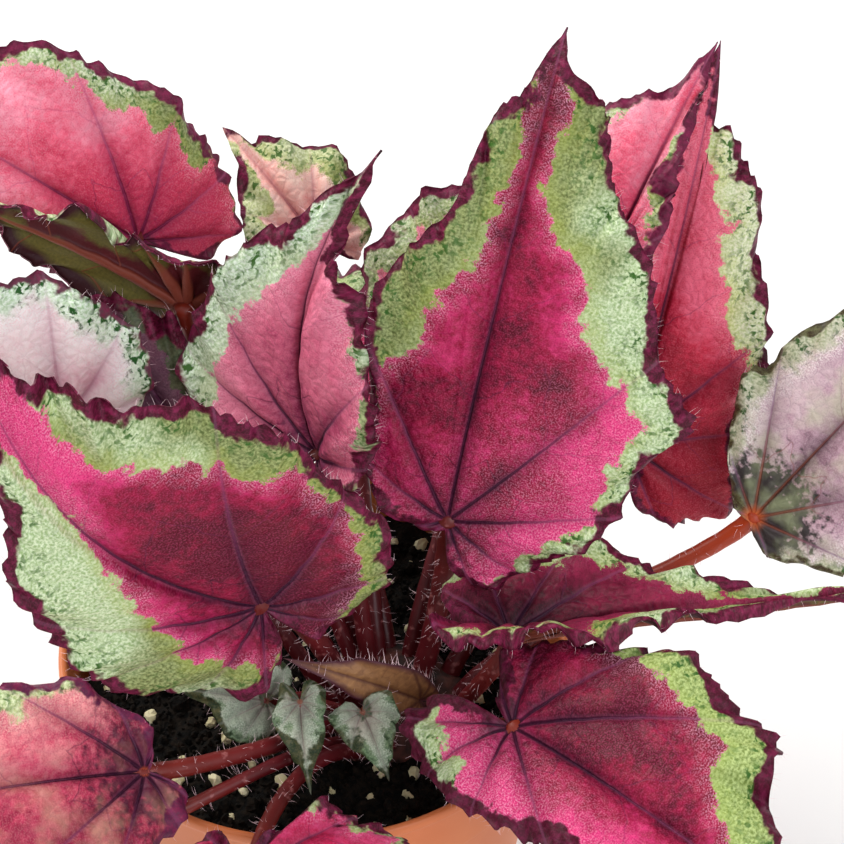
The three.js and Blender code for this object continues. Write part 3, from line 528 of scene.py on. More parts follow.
def relief(leaf, t, share, arc, free, flat, radius, size, ends):
    """Height in mm over the plain curled blade: quilting, funnel, waves, frill and veins."""
    s = leaf["seed"]
    calmed = limit(2.2 * free - 0.1)
    stops = np.array([-1.0, *leaf["veins"], 1.0])
    panel = np.clip(np.searchsorted(stops, t, side="right") - 1, 0, len(stops) - 2)
    within = limit((t - stops[panel]) / (stops[panel + 1] - stops[panel]))
    room = limit(radius / (0.25 * leaf["length"]))
    quilt = calmed * np.sin(np.pi * within) * QUILT_LIFT * room * share * np.maximum(0, 1 - share) ** 0.8
    funnel = FUNNEL_DEPTH * (1 - np.exp(-np.linalg.norm(flat, axis=1) / FUNNEL_REACH))
    calm = calmed * np.clip(np.abs(t) / 0.1, 0.35, 1) * limit((1 - np.abs(t)) / 0.1)
    outer = limit((share - 0.5) / 0.5) ** 2
    waves = leaf["waves"]
    ripple = (np.sin(waves * np.pi * t + FULL_TURN * seeded(s, 4))
              + 0.6 * np.sin(1.7 * waves * np.pi * t + FULL_TURN * seeded(s, 5)))
    swell = 0.5 + 0.5 * np.sin(arc / 8.3 + 1.7 * s)
    frill = ends * limit((share - MARGIN_FROM) / (1 - MARGIN_FROM)) ** 2 * (
        (0.5 + 1.3 * swell) * np.sin(FULL_TURN * arc / FRILL_MM[0] + s + np.sin(arc / 15))
        + (1.3 - 0.8 * swell) * np.sin(FULL_TURN * arc / FRILL_MM[1] + 2.3 * s + 1.5 * np.sin(arc / 13)))
    roll = limit((share - ROLL_FROM) / (1 - ROLL_FROM)) ** 2
    side_vein, main_vein = vein_fields(flat)
    groove = -0.55 * np.exp(-((main_vein / 0.9) ** 2)) * (1 - share)
    pucker = 0.42 * np.abs(np.sin(np.pi * side_vein / SIDE_VEIN_STEP))
    pucker *= limit(4 * share * (1 - share)) * calmed
    return (leaf["quilt"] * quilt + funnel + leaf["ruffle"] * outer * calm * ripple
            + size * (0.85 * frill - 0.9 * roll + groove + pucker))


print("teeth every", TOOTH_MM, "mm, frills every", FRILL_MM, "mm")

# %% [markdown]
# ## Bending the leaf
# A real blade folds up along its midrib, curls down again towards its sides and arches from hub
# to tip. Modifiers could bend a flat mesh, but not with a fold of its own for each half. Here the
# flat point and its height are carried round the two bends by sines and cosines, as in the solid.

# %% Surface of a leaf
def curled(leaf, flat, height):
    """Flat points and heights in mm, curled across the leaf, arched along it and put in place."""
    side = (flat[:, 0] >= 0).astype(int)
    fold = np.radians(np.array(leaf["fold"], float))[side]
    curl = (np.radians(np.array(leaf["curl"], float)) / np.array(leaf["half"]))[side]
    tilt = fold - curl * np.abs(flat[:, 0])
    lean = tilt * limit(np.abs(flat[:, 0]) / 8)
    reach = (np.sin(fold) - np.sin(tilt)) / curl - height * np.sin(lean)
    rise = (np.cos(tilt) - np.cos(fold)) / curl + height * np.cos(lean)
    y = flat[:, 1]
    length, bend = leaf["length"], leaf["bend"]
    bow = leaf["bow"] * length * np.sin(np.pi * limit(y / length))
    sideways = np.where(side == 1, reach, -reach) + bow
    slope = bend / 2 - bend * y / length
    forward = length / bend * (math.sin(bend / 2) - np.sin(slope)) - rise * np.sin(slope)
    up = length / bend * (np.cos(slope) - math.cos(bend / 2)) + rise * np.cos(slope)
    return (leaf["hub"] + sideways[:, None] * leaf["across"] + forward[:, None] * leaf["along"]
            + up[:, None] * leaf["normal"])


def surface(leaf, t, share, fine=1.0):
    """Points of the upper face in mm, and the same points on the flat leaf."""
    dense = leaf["dense"]
    arc = np.interp(t, dense.t, dense.arc)
    free = np.interp(t, dense.t, dense.free)
    size = fine * min(1.15, leaf["length"] / 60)
    ends = limit(np.abs(t) / 0.06) * limit((1 - np.abs(t)) / 0.1) * free
    flat, radius = toothed(leaf, t, share, arc, size * ends)
    height = relief(leaf, t, share, arc, free, flat, radius, size, ends)
    return curled(leaf, flat, height), flat


sample, _ = surface(LEAVES[0], np.array([0.0]), np.array([1.0]))
print("tip of the centre leaf", sample.round(1), "mm")

# %% [markdown]
# ## Tools for meshes
# Every piece is a mesh of points in mm that sits at the origin, unturned, as its plain solid
# does. Most pieces are rings of points joined by quads, from a stalk to the pot, so one function
# makes a piece and another joins its rings.

# %% Mesh tools
UV_UNIT_MM = 100


def new_piece(name, points, faces, materials, values=None, uv=None, slots=None):
    """A smooth mesh object at the origin, from points in mm, with a value or vector of each name
    for every point, and its UV map."""
    mesh = bpy.data.meshes.new(name)
    mesh.from_pydata((np.asarray(points) * MM).tolist(), [], faces)
    for material in materials:
        mesh.materials.append(material)
    for key, of_points in (values or {}).items():
        of_points = np.asarray(of_points, np.float32)
        kind, field = ("FLOAT_VECTOR", "vector") if of_points.ndim == 2 else ("FLOAT", "value")
        mesh.attributes.new(key, kind, "POINT").data.foreach_set(field, of_points.ravel())
    if uv is not None:
        corners = np.empty(len(mesh.loops), np.int32)
        mesh.loops.foreach_get("vertex_index", corners)
        layer = mesh.uv_layers.new(name="flat")
        layer.data.foreach_set("uv", np.asarray(uv, np.float32)[corners].ravel())
    if slots is not None:
        mesh.polygons.foreach_set("material_index", np.asarray(slots, np.int32))
    if faces:
        mesh.polygons.foreach_set("use_smooth", np.ones(len(faces), bool))
    piece = bpy.data.objects.new(name, mesh)
    bpy.context.scene.collection.objects.link(piece)
    return piece


def ring_quads(starts, count, flip=False):
    """Quads between closed rings of count points each, given the first point of every ring."""
    a = np.arange(count)
    b = (a + 1) % count
    quads = []
    for low, high in zip(starts, starts[1:]):
        corners = [low + a, low + b, high + b, high + a]
        if flip:
            corners = [corners[k] for k in (0, 3, 2, 1)]
        quads += np.stack(corners, axis=1).tolist()
    return quads


def ring_turns(count):
    """The angles of a ring's points."""
    return FULL_TURN * np.arange(count) / count


print("quads between two rings of 4 points:", len(ring_quads((0, 4), 4)))

# %% [markdown]
# ## Blades as meshes
# Each blade is a thin closed body: an upper face, a lower face half a millimetre under it with
# the veins standing out, and a narrow edge between. Its rays are spaced evenly along the margin,
# about a millimetre apart, and a ray lies exactly on each main vein so that the veins stay sharp.
# The mesh also carries distances in mm (to the margin, the veins, the hub and into the coloured
# heart), which the materials turn into colour, so the pattern follows the leaf wherever it bends.

# %% Rays and normals of a blade
def blade_rays(leaf, spacing):
    """Values of t: even steps along the margin, wider where rays only graze it, and the nearest
    moved onto each main vein."""
    steps = leaf["dense"].steps
    count = max(24, int(steps[-1] / spacing))
    t = np.interp(np.arange(count) / count * steps[-1], steps, leaf["dense"].t)
    for vein in leaf["veins"]:
        t[1 + np.argmin(np.abs(t[1:] - vein))] = vein
    return t


def grid_normals(points, rays, rings):
    """Normals of the upper face, from the ring and ray steps at each point."""
    grid = points[1:].reshape(rings, rays, 3)
    inner = np.concatenate([np.repeat(points[:1][None], rays, axis=1), grid[:-1]])
    outward = np.concatenate([grid[1:], grid[-1:]]) - inner
    sideways = np.roll(grid, -1, axis=1) - np.roll(grid, 1, axis=1)
    normal = np.cross(outward, sideways)
    normal /= np.maximum(np.linalg.norm(normal, axis=2, keepdims=True), 1e-9)
    return np.vstack([unit(normal[0].mean(axis=0)), normal.reshape(-1, 3)])


print("rays of the centre leaf:", len(blade_rays(LEAVES[0], 1.0)))

# %% Blade mesh
BLADE_VALUES = ("margin_mm", "heart_mm", "vein_mm", "side_vein_mm", "out", "hub_mm", "lit")
RIB_HEIGHT, RIB_WIDTH = 0.9, 0.7


def blade_values(leaf, flat, share, band, lit):
    """What the materials read at each point: distances in mm, the share of the way out and how far the point
    lies towards the side of the leaf that is painted as lit."""
    side_vein, main_vein = vein_fields(flat)
    rim = leaf["dense"].rim[::3]
    wide = np.interp(leaf["dense"].t[::3], *zip(*band))
    to_margin, to_heart = [], []
    for part in np.array_split(flat, 16):
        gaps = np.sqrt(((part[:, None] - rim[None]) ** 2).sum(2))
        to_margin.append(gaps.min(1))
        to_heart.append((gaps - wide).min(1))
    to_margin = np.where(share > 0.999, 0, np.concatenate(to_margin))
    towards = (flat - [0, 0.35 * leaf["length"]]) @ np.array(lit, float) / (0.5 * leaf["length"])
    columns = (to_margin, np.concatenate(to_heart), main_vein, side_vein, share,
               np.linalg.norm(flat, axis=1), np.clip(towards, -1, 1))
    return dict(zip(BLADE_VALUES, columns))


def blade_faces(rings, rays):
    """Faces of the upper side, the lower side and the edge, and their material slots."""
    count = 1 + rings * rays
    fan = [(0, 1 + (a + 1) % rays, 1 + a) for a in range(rays)]
    upper = fan + ring_quads(range(1, count, rays), rays)
    lower = [[count + v for v in reversed(face)] for face in upper]
    edge = [quad[::-1] for quad in ring_quads((count - rays, 2 * count - rays), rays)]
    return upper + lower + edge, [0] * len(upper) + [1] * len(lower) + [0] * len(edge)


def blade_piece(leaf, skins, band, lit, spacing, ring_step, thickness=0.55, fine=1.0):
    """The blade of a leaf as one closed mesh with its values for the materials."""
    t_rays = blade_rays(leaf, spacing)
    rays = len(t_rays)
    mean_radius = np.linalg.norm(outline(leaf, t_rays), axis=1).mean()
    rings = max(6, int(mean_radius / ring_step))
    shares = 1 - (1 - np.arange(1, rings + 1) / rings) ** 1.15
    t = np.concatenate([[0.0], np.tile(t_rays, rings)])
    share = np.concatenate([[0.0], np.repeat(shares, rays)])
    upper, flat = surface(leaf, t, share, fine)
    normal = grid_normals(upper, rays, rings)
    if normal[0].dot(leaf["normal"]) < 0:
        normal = -normal
    values = blade_values(leaf, flat, share, band, lit)
    rib = np.exp(-((values["vein_mm"] / RIB_WIDTH) ** 2)) * limit(1 - share) * RIB_HEIGHT
    lower = upper - normal * (thickness * min(1, leaf["length"] / 50) + rib)[:, None]
    faces, slots = blade_faces(rings, rays)
    both_sides = {key: np.tile(value, 2) for key, value in values.items()}
    uv = np.tile(flat * (1 / UV_UNIT_MM) + [leaf["seed"] * 1.7, leaf["seed"] * 0.9], (2, 1))
    piece = new_piece("leaf_" + leaf["name"], np.vstack([upper, lower]), faces, skins, both_sides, uv, slots)
    leaf["margin"] = (upper[-rays:], normal[-rays:])
    return piece


print("blades carry", BLADE_VALUES)

# %% [markdown]
# ## Leaf skin
# The upper skin of a rex begonia is a thin layer of cells over tiny air pockets, which gives the
# silvery sheen. Its colours lie in zones: a crimson heart with darker veins, a jagged edge, a
# mint-green band with yellow-green and dark-green mottles, and a purple frilled margin. A painted
# image would fix all this for one leaf. Here one node tree reads the distances on the mesh and
# breaks them up with noise, so each leaf gets its own pattern in the same hand.
# The UV map counts 100 mm as one unit, so a feature of f mm has a noise scale of 100 / f.

# %% Shared noises and the edge of the band
# Noises by the size of their patches in mm, and how many finer noises are laid over each.
NOISES = {"broad": (26, 1.0), "clouds": (9, 3.0), "flames": (5.5, 1.5), "jags": (1.7, 2.0),
          "specks": (0.36, 3.0)}


def shared_sockets(add, look):
    """The mesh's values, the noises and where the band lies, as sockets with names."""
    here = SimpleNamespace(**{key: add("value", attribute_name=key) for key in BLADE_VALUES})
    here.flat = add("flat map")
    for name, (size, detail) in NOISES.items():
        setattr(here, name, add("noise", here.flat, UV_UNIT_MM / size, detail))
    here.cloud_swing, flame_swing, here.jag_swing, speck_swing = [
        add("ADD", noise, -0.5) for noise in (here.clouds, here.flames, here.jags, here.specks)]
    # The band's inner edge is shaken by each noise and pushed out where a main vein crosses it.
    here.heart = here.heart_mm
    for swing, reach_mm in ((flame_swing, 8.0), (here.jag_swing, 4.0), (speck_swing, 3.0)):
        here.heart = add("MULTIPLY_ADD", swing, reach_mm, here.heart)
    here.heart = add("ADD", here.heart, add("range", here.vein_mm, 0.0, 3.0, 2.6, 0.0))
    here.in_band = add("soft range", here.heart, look.soft, -look.soft)
    here.dusty = add("range", here.specks, 0.46, 0.64)
    return here


print("noises in mm:", {name: size for name, (size, _) in NOISES.items()})

# %% [markdown]
# ## Heart of the leaf
# Clouds of dark and light colour lie under everything, painted paler towards the side the light comes from
# as painted light. Over them come painted glints, pale silvery specks of the air pockets seen from above
# that are painted stronger on the lit side as sparkle, small dark pits between them, a darker tone round the
# hub and along the veins, a brown glaze on some leaves that is kept mostly to the side away from the light
# as painted shade, and the net of fine veins. Each is a mask and a colour, so they are listed from the
# lowest to the highest and mixed in one loop. A mask is mostly a range: it runs from 0 to 1 between two
# distances in mm or two levels of a noise.

# %% Heart
NET_CELL_MM = 2.3


def layered(add, colour, layers):
    """A colour under layers of (mask, colour), from the lowest to the highest."""
    for mask, paint in layers:
        colour = add("mix", mask, colour, paint)
    return colour


def heart_colour(add, here, look):
    """The coloured heart, and the cells of the fine net for the relief."""
    # Clouds of colour, paler near the band, and painted light: the heart is paler towards its lit side.
    clouds_and_light = add("MULTIPLY_ADD", here.jags, 0.3, 0.04)
    for part, weight in ((here.clouds, 0.34), (here.broad, 0.4), (here.lit, 0.18)):
        clouds_and_light = add("MULTIPLY_ADD", part, weight, clouds_and_light)
    clouds_and_light = add("ADD", clouds_and_light, add("range", here.heart, 14.0, 0.5, -0.05, 0.12))
    ground = add("ramp", clouds_and_light, stops=((0.46, look.deep), (0.58, look.heart), (0.76, look.light)))

    # Painted glints: light specks all over, standing for the sparkle of the skin.
    glints = add("MULTIPLY", here.dusty, 0.2)
    # Pale silvery specks: real near the band, and painted sparkle where the side is lit.
    near_band = add("range", here.heart, 5.0, 0.0, 0.0, 1.5 * look.dusted)
    band_frost_and_lit_sparkle = add("MAXIMUM", near_band, add("range", here.lit, 0.1, 0.9, 0.0, 1.3 * look.dusted))
    dust = add("MULTIPLY", band_frost_and_lit_sparkle, here.dusty)
    dust = add("MULTIPLY_ADD", here.dusty, 0.04, dust, use_clamp=True)
    pits = add("range", here.specks, 0.46, 0.3, 0.0, 0.4)

    shade = add("range", here.vein_mm, 0.2, 4.5, 0.55, 0.0)
    shade = add("MULTIPLY", shade, add("range", here.out, 0.1, 0.85, 1.0, 0.25))
    by_hub = add("MULTIPLY_ADD", here.jag_swing, 26.0, here.hub_mm)
    by_hub = add("range", by_hub, look.hub_near, look.hub_reach, look.hub_shade, 0.0)
    shade = add("MAXIMUM", shade, by_hub)
    # A brown glaze in patches, kept mostly to the side away from the light as painted shade.
    glazed = add("range", here.clouds, 0.46, 0.66, 0.0, look.glazed)
    glazed = add("MULTIPLY", glazed, add("range", here.lit, 0.5, -0.5))

    wander = add("noise", here.flat, UV_UNIT_MM / 4, 1.0).node.outputs["Color"]
    bent = add("ShaderNodeMix", {0: 0.018, 4: here.flat, 5: wander}, data_type="VECTOR").node.outputs[1]
    cells = add("ShaderNodeTexVoronoi", {"Vector": bent, "Scale": UV_UNIT_MM / NET_CELL_MM},
                feature="DISTANCE_TO_EDGE")
    net = add("range", cells, 0.02, 0.1, 0.1, 0.0)
    layers = ((glints, look.light), (dust, look.dust), (pits, look.deep), (shade, look.shade),
              (glazed, look.glaze), (net, look.shade))
    return layered(add, ground, layers), cells


print("cells of the net:", NET_CELL_MM, "mm")

# %% [markdown]
# ## Band
# The silvery green comes from larger air pockets. It is mint with fibrous light streaks, and olive in broad
# patches and on the side away from the light, where the olive is painted shade. It is yellow-green along its
# inner side, and mottled with dark green towards the margin, where the pockets are missing.

# %% Band
def band_colour(add, here, look):
    """The green band."""
    streaks = add("noise", here.flat, UV_UNIT_MM / 0.6, 4.0, 0.3)
    light = add("range", streaks, 0.36, 0.64)
    mint = add("mix", light, look.band, look.band_light)
    olive = add("mix", light, look.olive, look.olive_light)
    # Olive in broad patches and, as painted shade, on the side away from the light.
    olive_and_shade = add("MULTIPLY_ADD", here.lit, -0.42, here.broad)
    olive_and_shade = add("MULTIPLY_ADD", here.clouds, 0.4, olive_and_shade)
    olive_and_shade = add("range", olive_and_shade, 0.62, 0.84, 0.0, 0.9)
    inner = add("MULTIPLY", add("range", here.heart, -4.5, -0.3, 0.0, 0.8), here.clouds)
    spots = add("noise", here.flat, UV_UNIT_MM / 1.3, 3.0, 0.5)
    spots = add("MULTIPLY", add("range", spots, 0.5, 0.6), add("range", here.flames, 0.36, 0.56))
    outward = add("range", here.margin_mm, 10.0, 4.0, 0.2, look.mottled)
    spots = add("MULTIPLY", spots, outward, use_clamp=True)
    return layered(add, mint, ((olive_and_shade, olive), (inner, look.band_inner), (spots, look.mottle)))


print("the band is mint, olive, yellow-green and mottled")

# %% [markdown]
# ## Margin, veins and relief
# The purple margin has a ragged inner side and paler crests, which are a painted sheen. A main vein thins
# and pales outward, and side veins leave it every few millimetres. A bump lifts the cells of the net, sinks
# the veins and adds a fine grain that catches the light like the skin of a real leaf.

# %% Leaf skin material
def leaf_skin(name, look):
    """A leaf's upper skin from its named colours and sizes."""
    material, add = new_material(name)
    here = shared_sockets(add, look)
    heart, cells = heart_colour(add, here, look)
    green = band_colour(add, here, look)

    ragged = add("MULTIPLY_ADD", here.jag_swing, 2.4, here.margin_mm)
    ragged = add("MULTIPLY_ADD", here.cloud_swing, -14.0, ragged)
    in_margin = add("soft range", ragged, look.margin_mm + 0.5, look.margin_mm - 0.6)
    # Paler crests on the margin in patches: a painted sheen.
    crest_sheen = add("range", here.jags, 0.42, 0.7, 0.0, 0.75)
    crest_sheen = add("MULTIPLY_ADD", here.dusty, 0.35, crest_sheen, use_clamp=True)
    crest = add("mix", crest_sheen, look.margin, look.margin_light)

    width = add("range", here.out, 0.0, 1.0, look.vein_mm, 0.14)
    line = add("DIVIDE", here.vein_mm, width)
    flank = add("range", line, 2.8, 1.3, 0.0, 0.14)
    line = add("soft range", line, 1.25, 0.55)
    drift = add("MULTIPLY_ADD", here.clouds, 7.0, here.side_vein_mm)
    side = add("range", add("PINGPONG", drift, SIDE_VEIN_STEP), 0.28, 0.1, 0.0, 0.5)
    line = add("MAXIMUM", line, side)
    strength = add("range", here.out, 0.4, 0.9, look.vein_strength, 0.3 * look.vein_strength)
    line = add("MULTIPLY", line, strength)
    line = add("MULTIPLY", line, add("MULTIPLY_ADD", here.in_band, -0.82, 1.0))
    vein = add("mix", add("range", here.out, 0.3, 0.8), look.vein, look.vein_light)
    hub_spot = add("soft range", here.hub_mm, look.hub_mm, 0.4)
    layers = ((here.in_band, green), (in_margin, crest), (flank, look.flank), (line, vein),
              (hub_spot, look.hub))
    colour = layered(add, heart, layers)

    height = add("MULTIPLY_ADD", here.specks, 0.5, add("soft range", cells, 0.0, 0.35))
    height = add("MULTIPLY_ADD", line, -1.2, height)
    bump = add("bump", height, 0.5, 0.00035)
    # A begonia's skin is half matt: the light on it is broad and weak.
    add("output", add("skin", colour, 0.5, bump, {"Specular IOR Level": 0.22}))
    return material


print("leaf skin ready to be coloured")

# %% [markdown]
# ## Colourings
# All leaves of one plant share the colours of the crimson one, and each other colouring only says what
# differs: the young leaves are grey-green, those in the light are coral or rose, lighter colourings that
# paint the light shining through them, and the oldest are silvery. Besides colours there are a few sizes in
# mm and shares from 0 to 1.

# %% Colourings
BASE = dict(
    deep="#560319", heart="#9A0638", light="#E8347C", dust="#FFC0D6", shade="#3C0626",
    glaze="#903634", flank="#A87090", band="#9CB67A", band_light="#E2EEC6", olive="#5C6430",
    olive_light="#9EA864", band_inner="#A9B244", mottle="#3A6422", margin="#42061A",
    margin_light="#86204A", vein="#300A28", vein_light="#8A2E5E", hub="#8A2A1E",
    glazed=0.16, dusted=0.38, mottled=1.0, hub_shade=0.6, vein_strength=0.8,
    soft=0.3, margin_mm=2.3, vein_mm=0.42, hub_mm=1.5, hub_near=2.0, hub_reach=14.0)
COLOURINGS = {
    "crimson": dict(),
    "bordered": dict(
        olive="#76863C", olive_light="#B6C878", band_inner="#A8BA5C", margin_light="#72183E",
        margin_mm=3.2),
    "wine": dict(
        deep="#3A0616", heart="#620C28", light="#A0204C", dust="#A83A66", shade="#2A0616"),
    "magenta": dict(
        deep="#A01038", heart="#CC2254", light="#E85088", dust="#F4A6C4", shade="#5C0A34"),
    # Painted light: a lighter copy of the colours for a leaf in the light.
    "rose": dict(
        deep="#A8345A", heart="#DA6482", light="#F58AA4", dust="#FBC4CE", shade="#4E1238",
        band="#A8C294", band_light="#EAF4E0", band_inner="#D0DCA8", glazed=0.1, hub_shade=0.75),
    # Painted light: a lighter copy of the colours for leaves with the light shining through them.
    "coral": dict(
        deep="#D63458", heart="#F4607E", light="#FF9CB0", dust="#FFC0CA", shade="#86184A",
        band_light="#EEF2D6", margin="#5A1430", vein="#7A1C4A", vein_light="#D05A86", glazed=0.0),
    # Painted light: a lighter copy of the colours for a leaf with the light shining through it.
    "scarlet": dict(
        deep="#9E0E28", heart="#CA2442", light="#F06480", dust="#F7A4AE", shade="#5E0C28",
        band="#BCC88C", band_light="#F0EED0", olive="#A8AC68", olive_light="#DCD8A4",
        band_inner="#CED070", hub_shade=0.3),
    "silver": dict(
        deep="#98707E", heart="#C49CA8", light="#E6CCCC", dust="#FBF0EC", shade="#2A2A26",
        glaze="#B4BC8C", flank="#C0A8B0", band="#A4AE84", band_light="#E0DEC4", olive="#7E8A5A",
        olive_light="#C6C8A0", band_inner="#CCB8B0", mottle="#3A5A28", margin="#40301E",
        margin_light="#7E7E56", vein="#8A4A38", vein_light="#86608A", hub="#D8703C", glazed=0.9,
        dusted=0.7, hub_shade=0.95, soft=1.6, margin_mm=1.4, hub_mm=4.0, hub_near=12.0, hub_reach=17.0),
    "salmon": dict(
        deep="#96183C", heart="#C83E5E", light="#E88890", dust="#F4BCB0", shade="#2E1228",
        glaze="#B88C74", band_inner="#D0C27A", margin="#5A2040", hub="#C65A35", glazed=0.8, dusted=0.7,
        hub_shade=0.8, soft=0.8, hub_near=8.0, hub_reach=18.0),
    "pale": dict(
        deep="#F2B8C2", heart="#FFE0E0", light="#FFF2EE", dust="#FFFAF6", shade="#A0587A",
        band="#B4D0A4", band_light="#F2FAEC", olive="#8AAE7A", olive_light="#DCEBCC",
        band_inner="#F0EEE0", mottle="#1E5418", margin="#5B3A44", vein="#A85F74", vein_light="#D9A3AC",
        glazed=0.0, dusted=0.7, mottled=1.6, hub_shade=0.3, vein_strength=0.4, soft=1.4, margin_mm=1.0),
    "blush": dict(
        deep="#E28078", heart="#FFB0A4", light="#FFD6C8", dust="#FFE8DC", shade="#A04A5A",
        glaze="#D8B088", band="#B4BC84", band_light="#E6E8C0", mottle="#4A6A2A", vein="#A8505E",
        vein_light="#D9938C", glazed=0.3, mottled=1.3, hub_shade=0.3, vein_strength=0.5, soft=0.8,
        margin_mm=1.2),
    "shaded": dict(
        deep="#3A1E2A", heart="#542E40", light="#6E4658", dust="#7E5C68", shade="#22101A",
        band="#46523C", band_light="#626C50", olive="#3A4424", olive_light="#565E3C",
        band_inner="#5A4C40", mottle="#24361E"),
    "young": dict(
        deep="#5A6658", heart="#7E9078", light="#AAB8A0", dust="#CCD4C0", shade="#6A4A54",
        glaze="#A86E7C", flank="#B0B8A8", band="#345230", band_light="#6E8862", olive="#2A4018",
        olive_light="#6A7A48", band_inner="#86907C", mottle="#16300E", margin="#22301A",
        margin_light="#5A5636", vein="#6E4A4A", vein_light="#8E807A", hub="#7A4A3A", glazed=0.4,
        hub_shade=0.2, vein_strength=0.4, soft=0.9, margin_mm=1.2, vein_mm=0.2, hub_mm=0.9),
}
LEAF_SKINS = {key: leaf_skin(f"silvered {key} leaf skin", SimpleNamespace(**{**BASE, **own}))
              for key, own in COLOURINGS.items()}
print(len(LEAF_SKINS), "leaf skins")

# %% [markdown]
# ## Underside
# Below, a rex begonia leaf is dull maroon where the upper side is crimson and olive where it is
# green, with fleshy reddish veins standing out. It has no silver sheen, so it is darker and flat.

# %% Underside material
UNDERSIDE, add = new_material("maroon leaf underside")
margin_mm, heart_mm, vein_mm, side_vein_mm, out = [
    add("value", attribute_name=key) for key in BLADE_VALUES[:5]]
flat = add("flat map")
clouds = add("noise", flat, UV_UNIT_MM / 7, 4.0)
specks = add("noise", flat, UV_UNIT_MM / 0.7, 2.0)
maroon = add("mix", clouds, "#34080E", "#6A1820")
green = add("mix", specks, "#484216", "#7C7230")
in_band = add("range", add("MULTIPLY_ADD", clouds, 9.0, heart_mm), 4.6, 2.8)
at_rim = add("range", margin_mm, 3.2, 1.4)
line = add("DIVIDE", vein_mm, add("range", out, 0.0, 1.0, 1.0, 0.3))
line = add("range", line, 1.1, 0.5, 0.0, 0.8)
side = add("range", add("PINGPONG", side_vein_mm, SIDE_VEIN_STEP), 0.35, 0.1, 0.0, 0.5)
line = add("MAXIMUM", line, side)
colour = layered(add, maroon, ((in_band, green), (at_rim, "#3A0F18"), (line, "#8A3E2A")))
bump = add("bump", add("MULTIPLY_ADD", specks, 0.6, line), 0.6, 0.0004)
add("output", add("skin", colour, 0.62, bump, {"IOR": 1.42}))
print("underside ready")

# %% [markdown]
# ## Growing the blades
# Large leaves get a point about every millimetre. The small ones in the shade of the others need
# fewer. Each blade replaces the plain solid of the same name and rides on the one fixed body.

# %% Blades
NEAR_STEPS = (1.0, 1.15)
FAR_STEPS = (1.3, 1.5)
SMALL_LEAF_MM = 45

triangles = 0
for leaf in LEAVES:
    colouring, band = BANDS[leaf["name"]]
    hidden = leaf["name"].startswith("rear") or leaf["length"] < SMALL_LEAF_MM
    spacing, ring_step = FAR_STEPS if hidden else NEAR_STEPS
    skins = [LEAF_SKINS[colouring], UNDERSIDE]
    blade = blade_piece(leaf, skins, band, LIT.get(leaf["name"], (0, 0)), spacing, ring_step)
    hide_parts("blade_" + leaf["name"])
    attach(blade, "root")
    triangles += sum(len(face.vertices) - 2 for face in blade.data.polygons)
print(len(LEAVES), "blades,", triangles, "triangles")

# %% [markdown]
# ## Stalks
# A begonia's leaf stalk is a juicy dark red rod, slightly thicker at both ends, covered with
# pale bristles. A curve with a bevel would give an even tube; a swept ring of points lets the
# rod swell at its ends and keeps a value along its length, from foot (0) to hub (1), for colour.

# %% Stalk material
STALK_SKIN, add = new_material("juicy dark red stalk skin")
# Full of water, so it is smoother and shinier than a leaf, and pale flecks break up the red.
place = add("place")
toward_hub = add("value", attribute_name="along")
warmth = add("value", attribute_name="warm")
grain = add("noise", place, 420.0, 3.0)
blotches = add("noise", place, 90.0, 2.0)
red = add("mix", blotches, "#300709", "#741822")
orange = add("mix", blotches, "#96260C", "#CC4E1E")
by_top = add("MULTIPLY", add("range", toward_hub, 0.35, 1.0), warmth)
flecks = add("range", grain, 0.6, 0.72, 0.0, 0.5)
colour = layered(add, red, ((by_top, orange), (flecks, "#C27A78")))
bump = add("bump", grain, 0.4, 0.0003)
add("output", add("skin", colour, 0.42, bump, {"Specular IOR Level": 0.4}))
print("stalk skin ready")

# %% [markdown]
# ## The way of a stalk
# A stalk leaves the crown from one of three rings of feet, leans away from the others and comes
# up under its hub. Four points of a Bezier curve say all that: the foot, the lean and two for how
# it arrives. The curve ends just short of the blade's under face, as the plain solid does.

# %% Line of a stalk
CROWN_CENTRE = np.array([18.0, -10.0])
FOOT_RINGS = [4.5, 9.5, 13.5]
FOOT_HEIGHT = 90.0
# How far under the hub the curve aims, and how far under it the rod is cut off, in mm.
STALK_END = 2.1
STALK_GAP = 0.75
LINE_SAMPLES = 400


def stalk_points(leaf, count):
    """The middle line of a leaf's stalk: the same curve as the plain solid's, up to the blade."""
    ring, degrees = leaf["foot"]
    turn = math.radians(degrees)
    out = np.array([math.cos(turn), math.sin(turn), 0.0])
    foot = np.array([*CROWN_CENTRE, FOOT_HEIGHT]) + FOOT_RINGS[ring - 1] * out
    reach = np.linalg.norm(leaf["hub"] - foot)
    lean = np.array(leaf.get("lean", [0.12 * reach * out[0], 0.12 * reach * out[1], 0.35 * reach]), float)
    arrive = unit(leaf["arrive"]) if "arrive" in leaf else unit(0.6 * leaf["along"] + 0.8 * leaf["normal"])
    end = leaf["hub"] - STALK_END * leaf["under"]
    knots = [foot, foot + lean, end - 0.3 * reach * arrive, end + 3 * arrive]
    share = np.linspace(0, 1, LINE_SAMPLES)[:, None]
    line = ((1 - share) ** 3 * knots[0] + 3 * share * (1 - share) ** 2 * knots[1]
            + 3 * share * share * (1 - share) * knots[2] + share**3 * knots[3])
    below = (line - leaf["hub"]) @ leaf["under"] < -STALK_GAP
    line = line[:np.max(np.nonzero(below)[0]) + 1]
    arc = path_lengths(line)
    wanted = np.linspace(0, arc[-1], count)
    return np.stack([np.interp(wanted, arc, line[:, k]) for k in range(3)], axis=1), arc[-1]


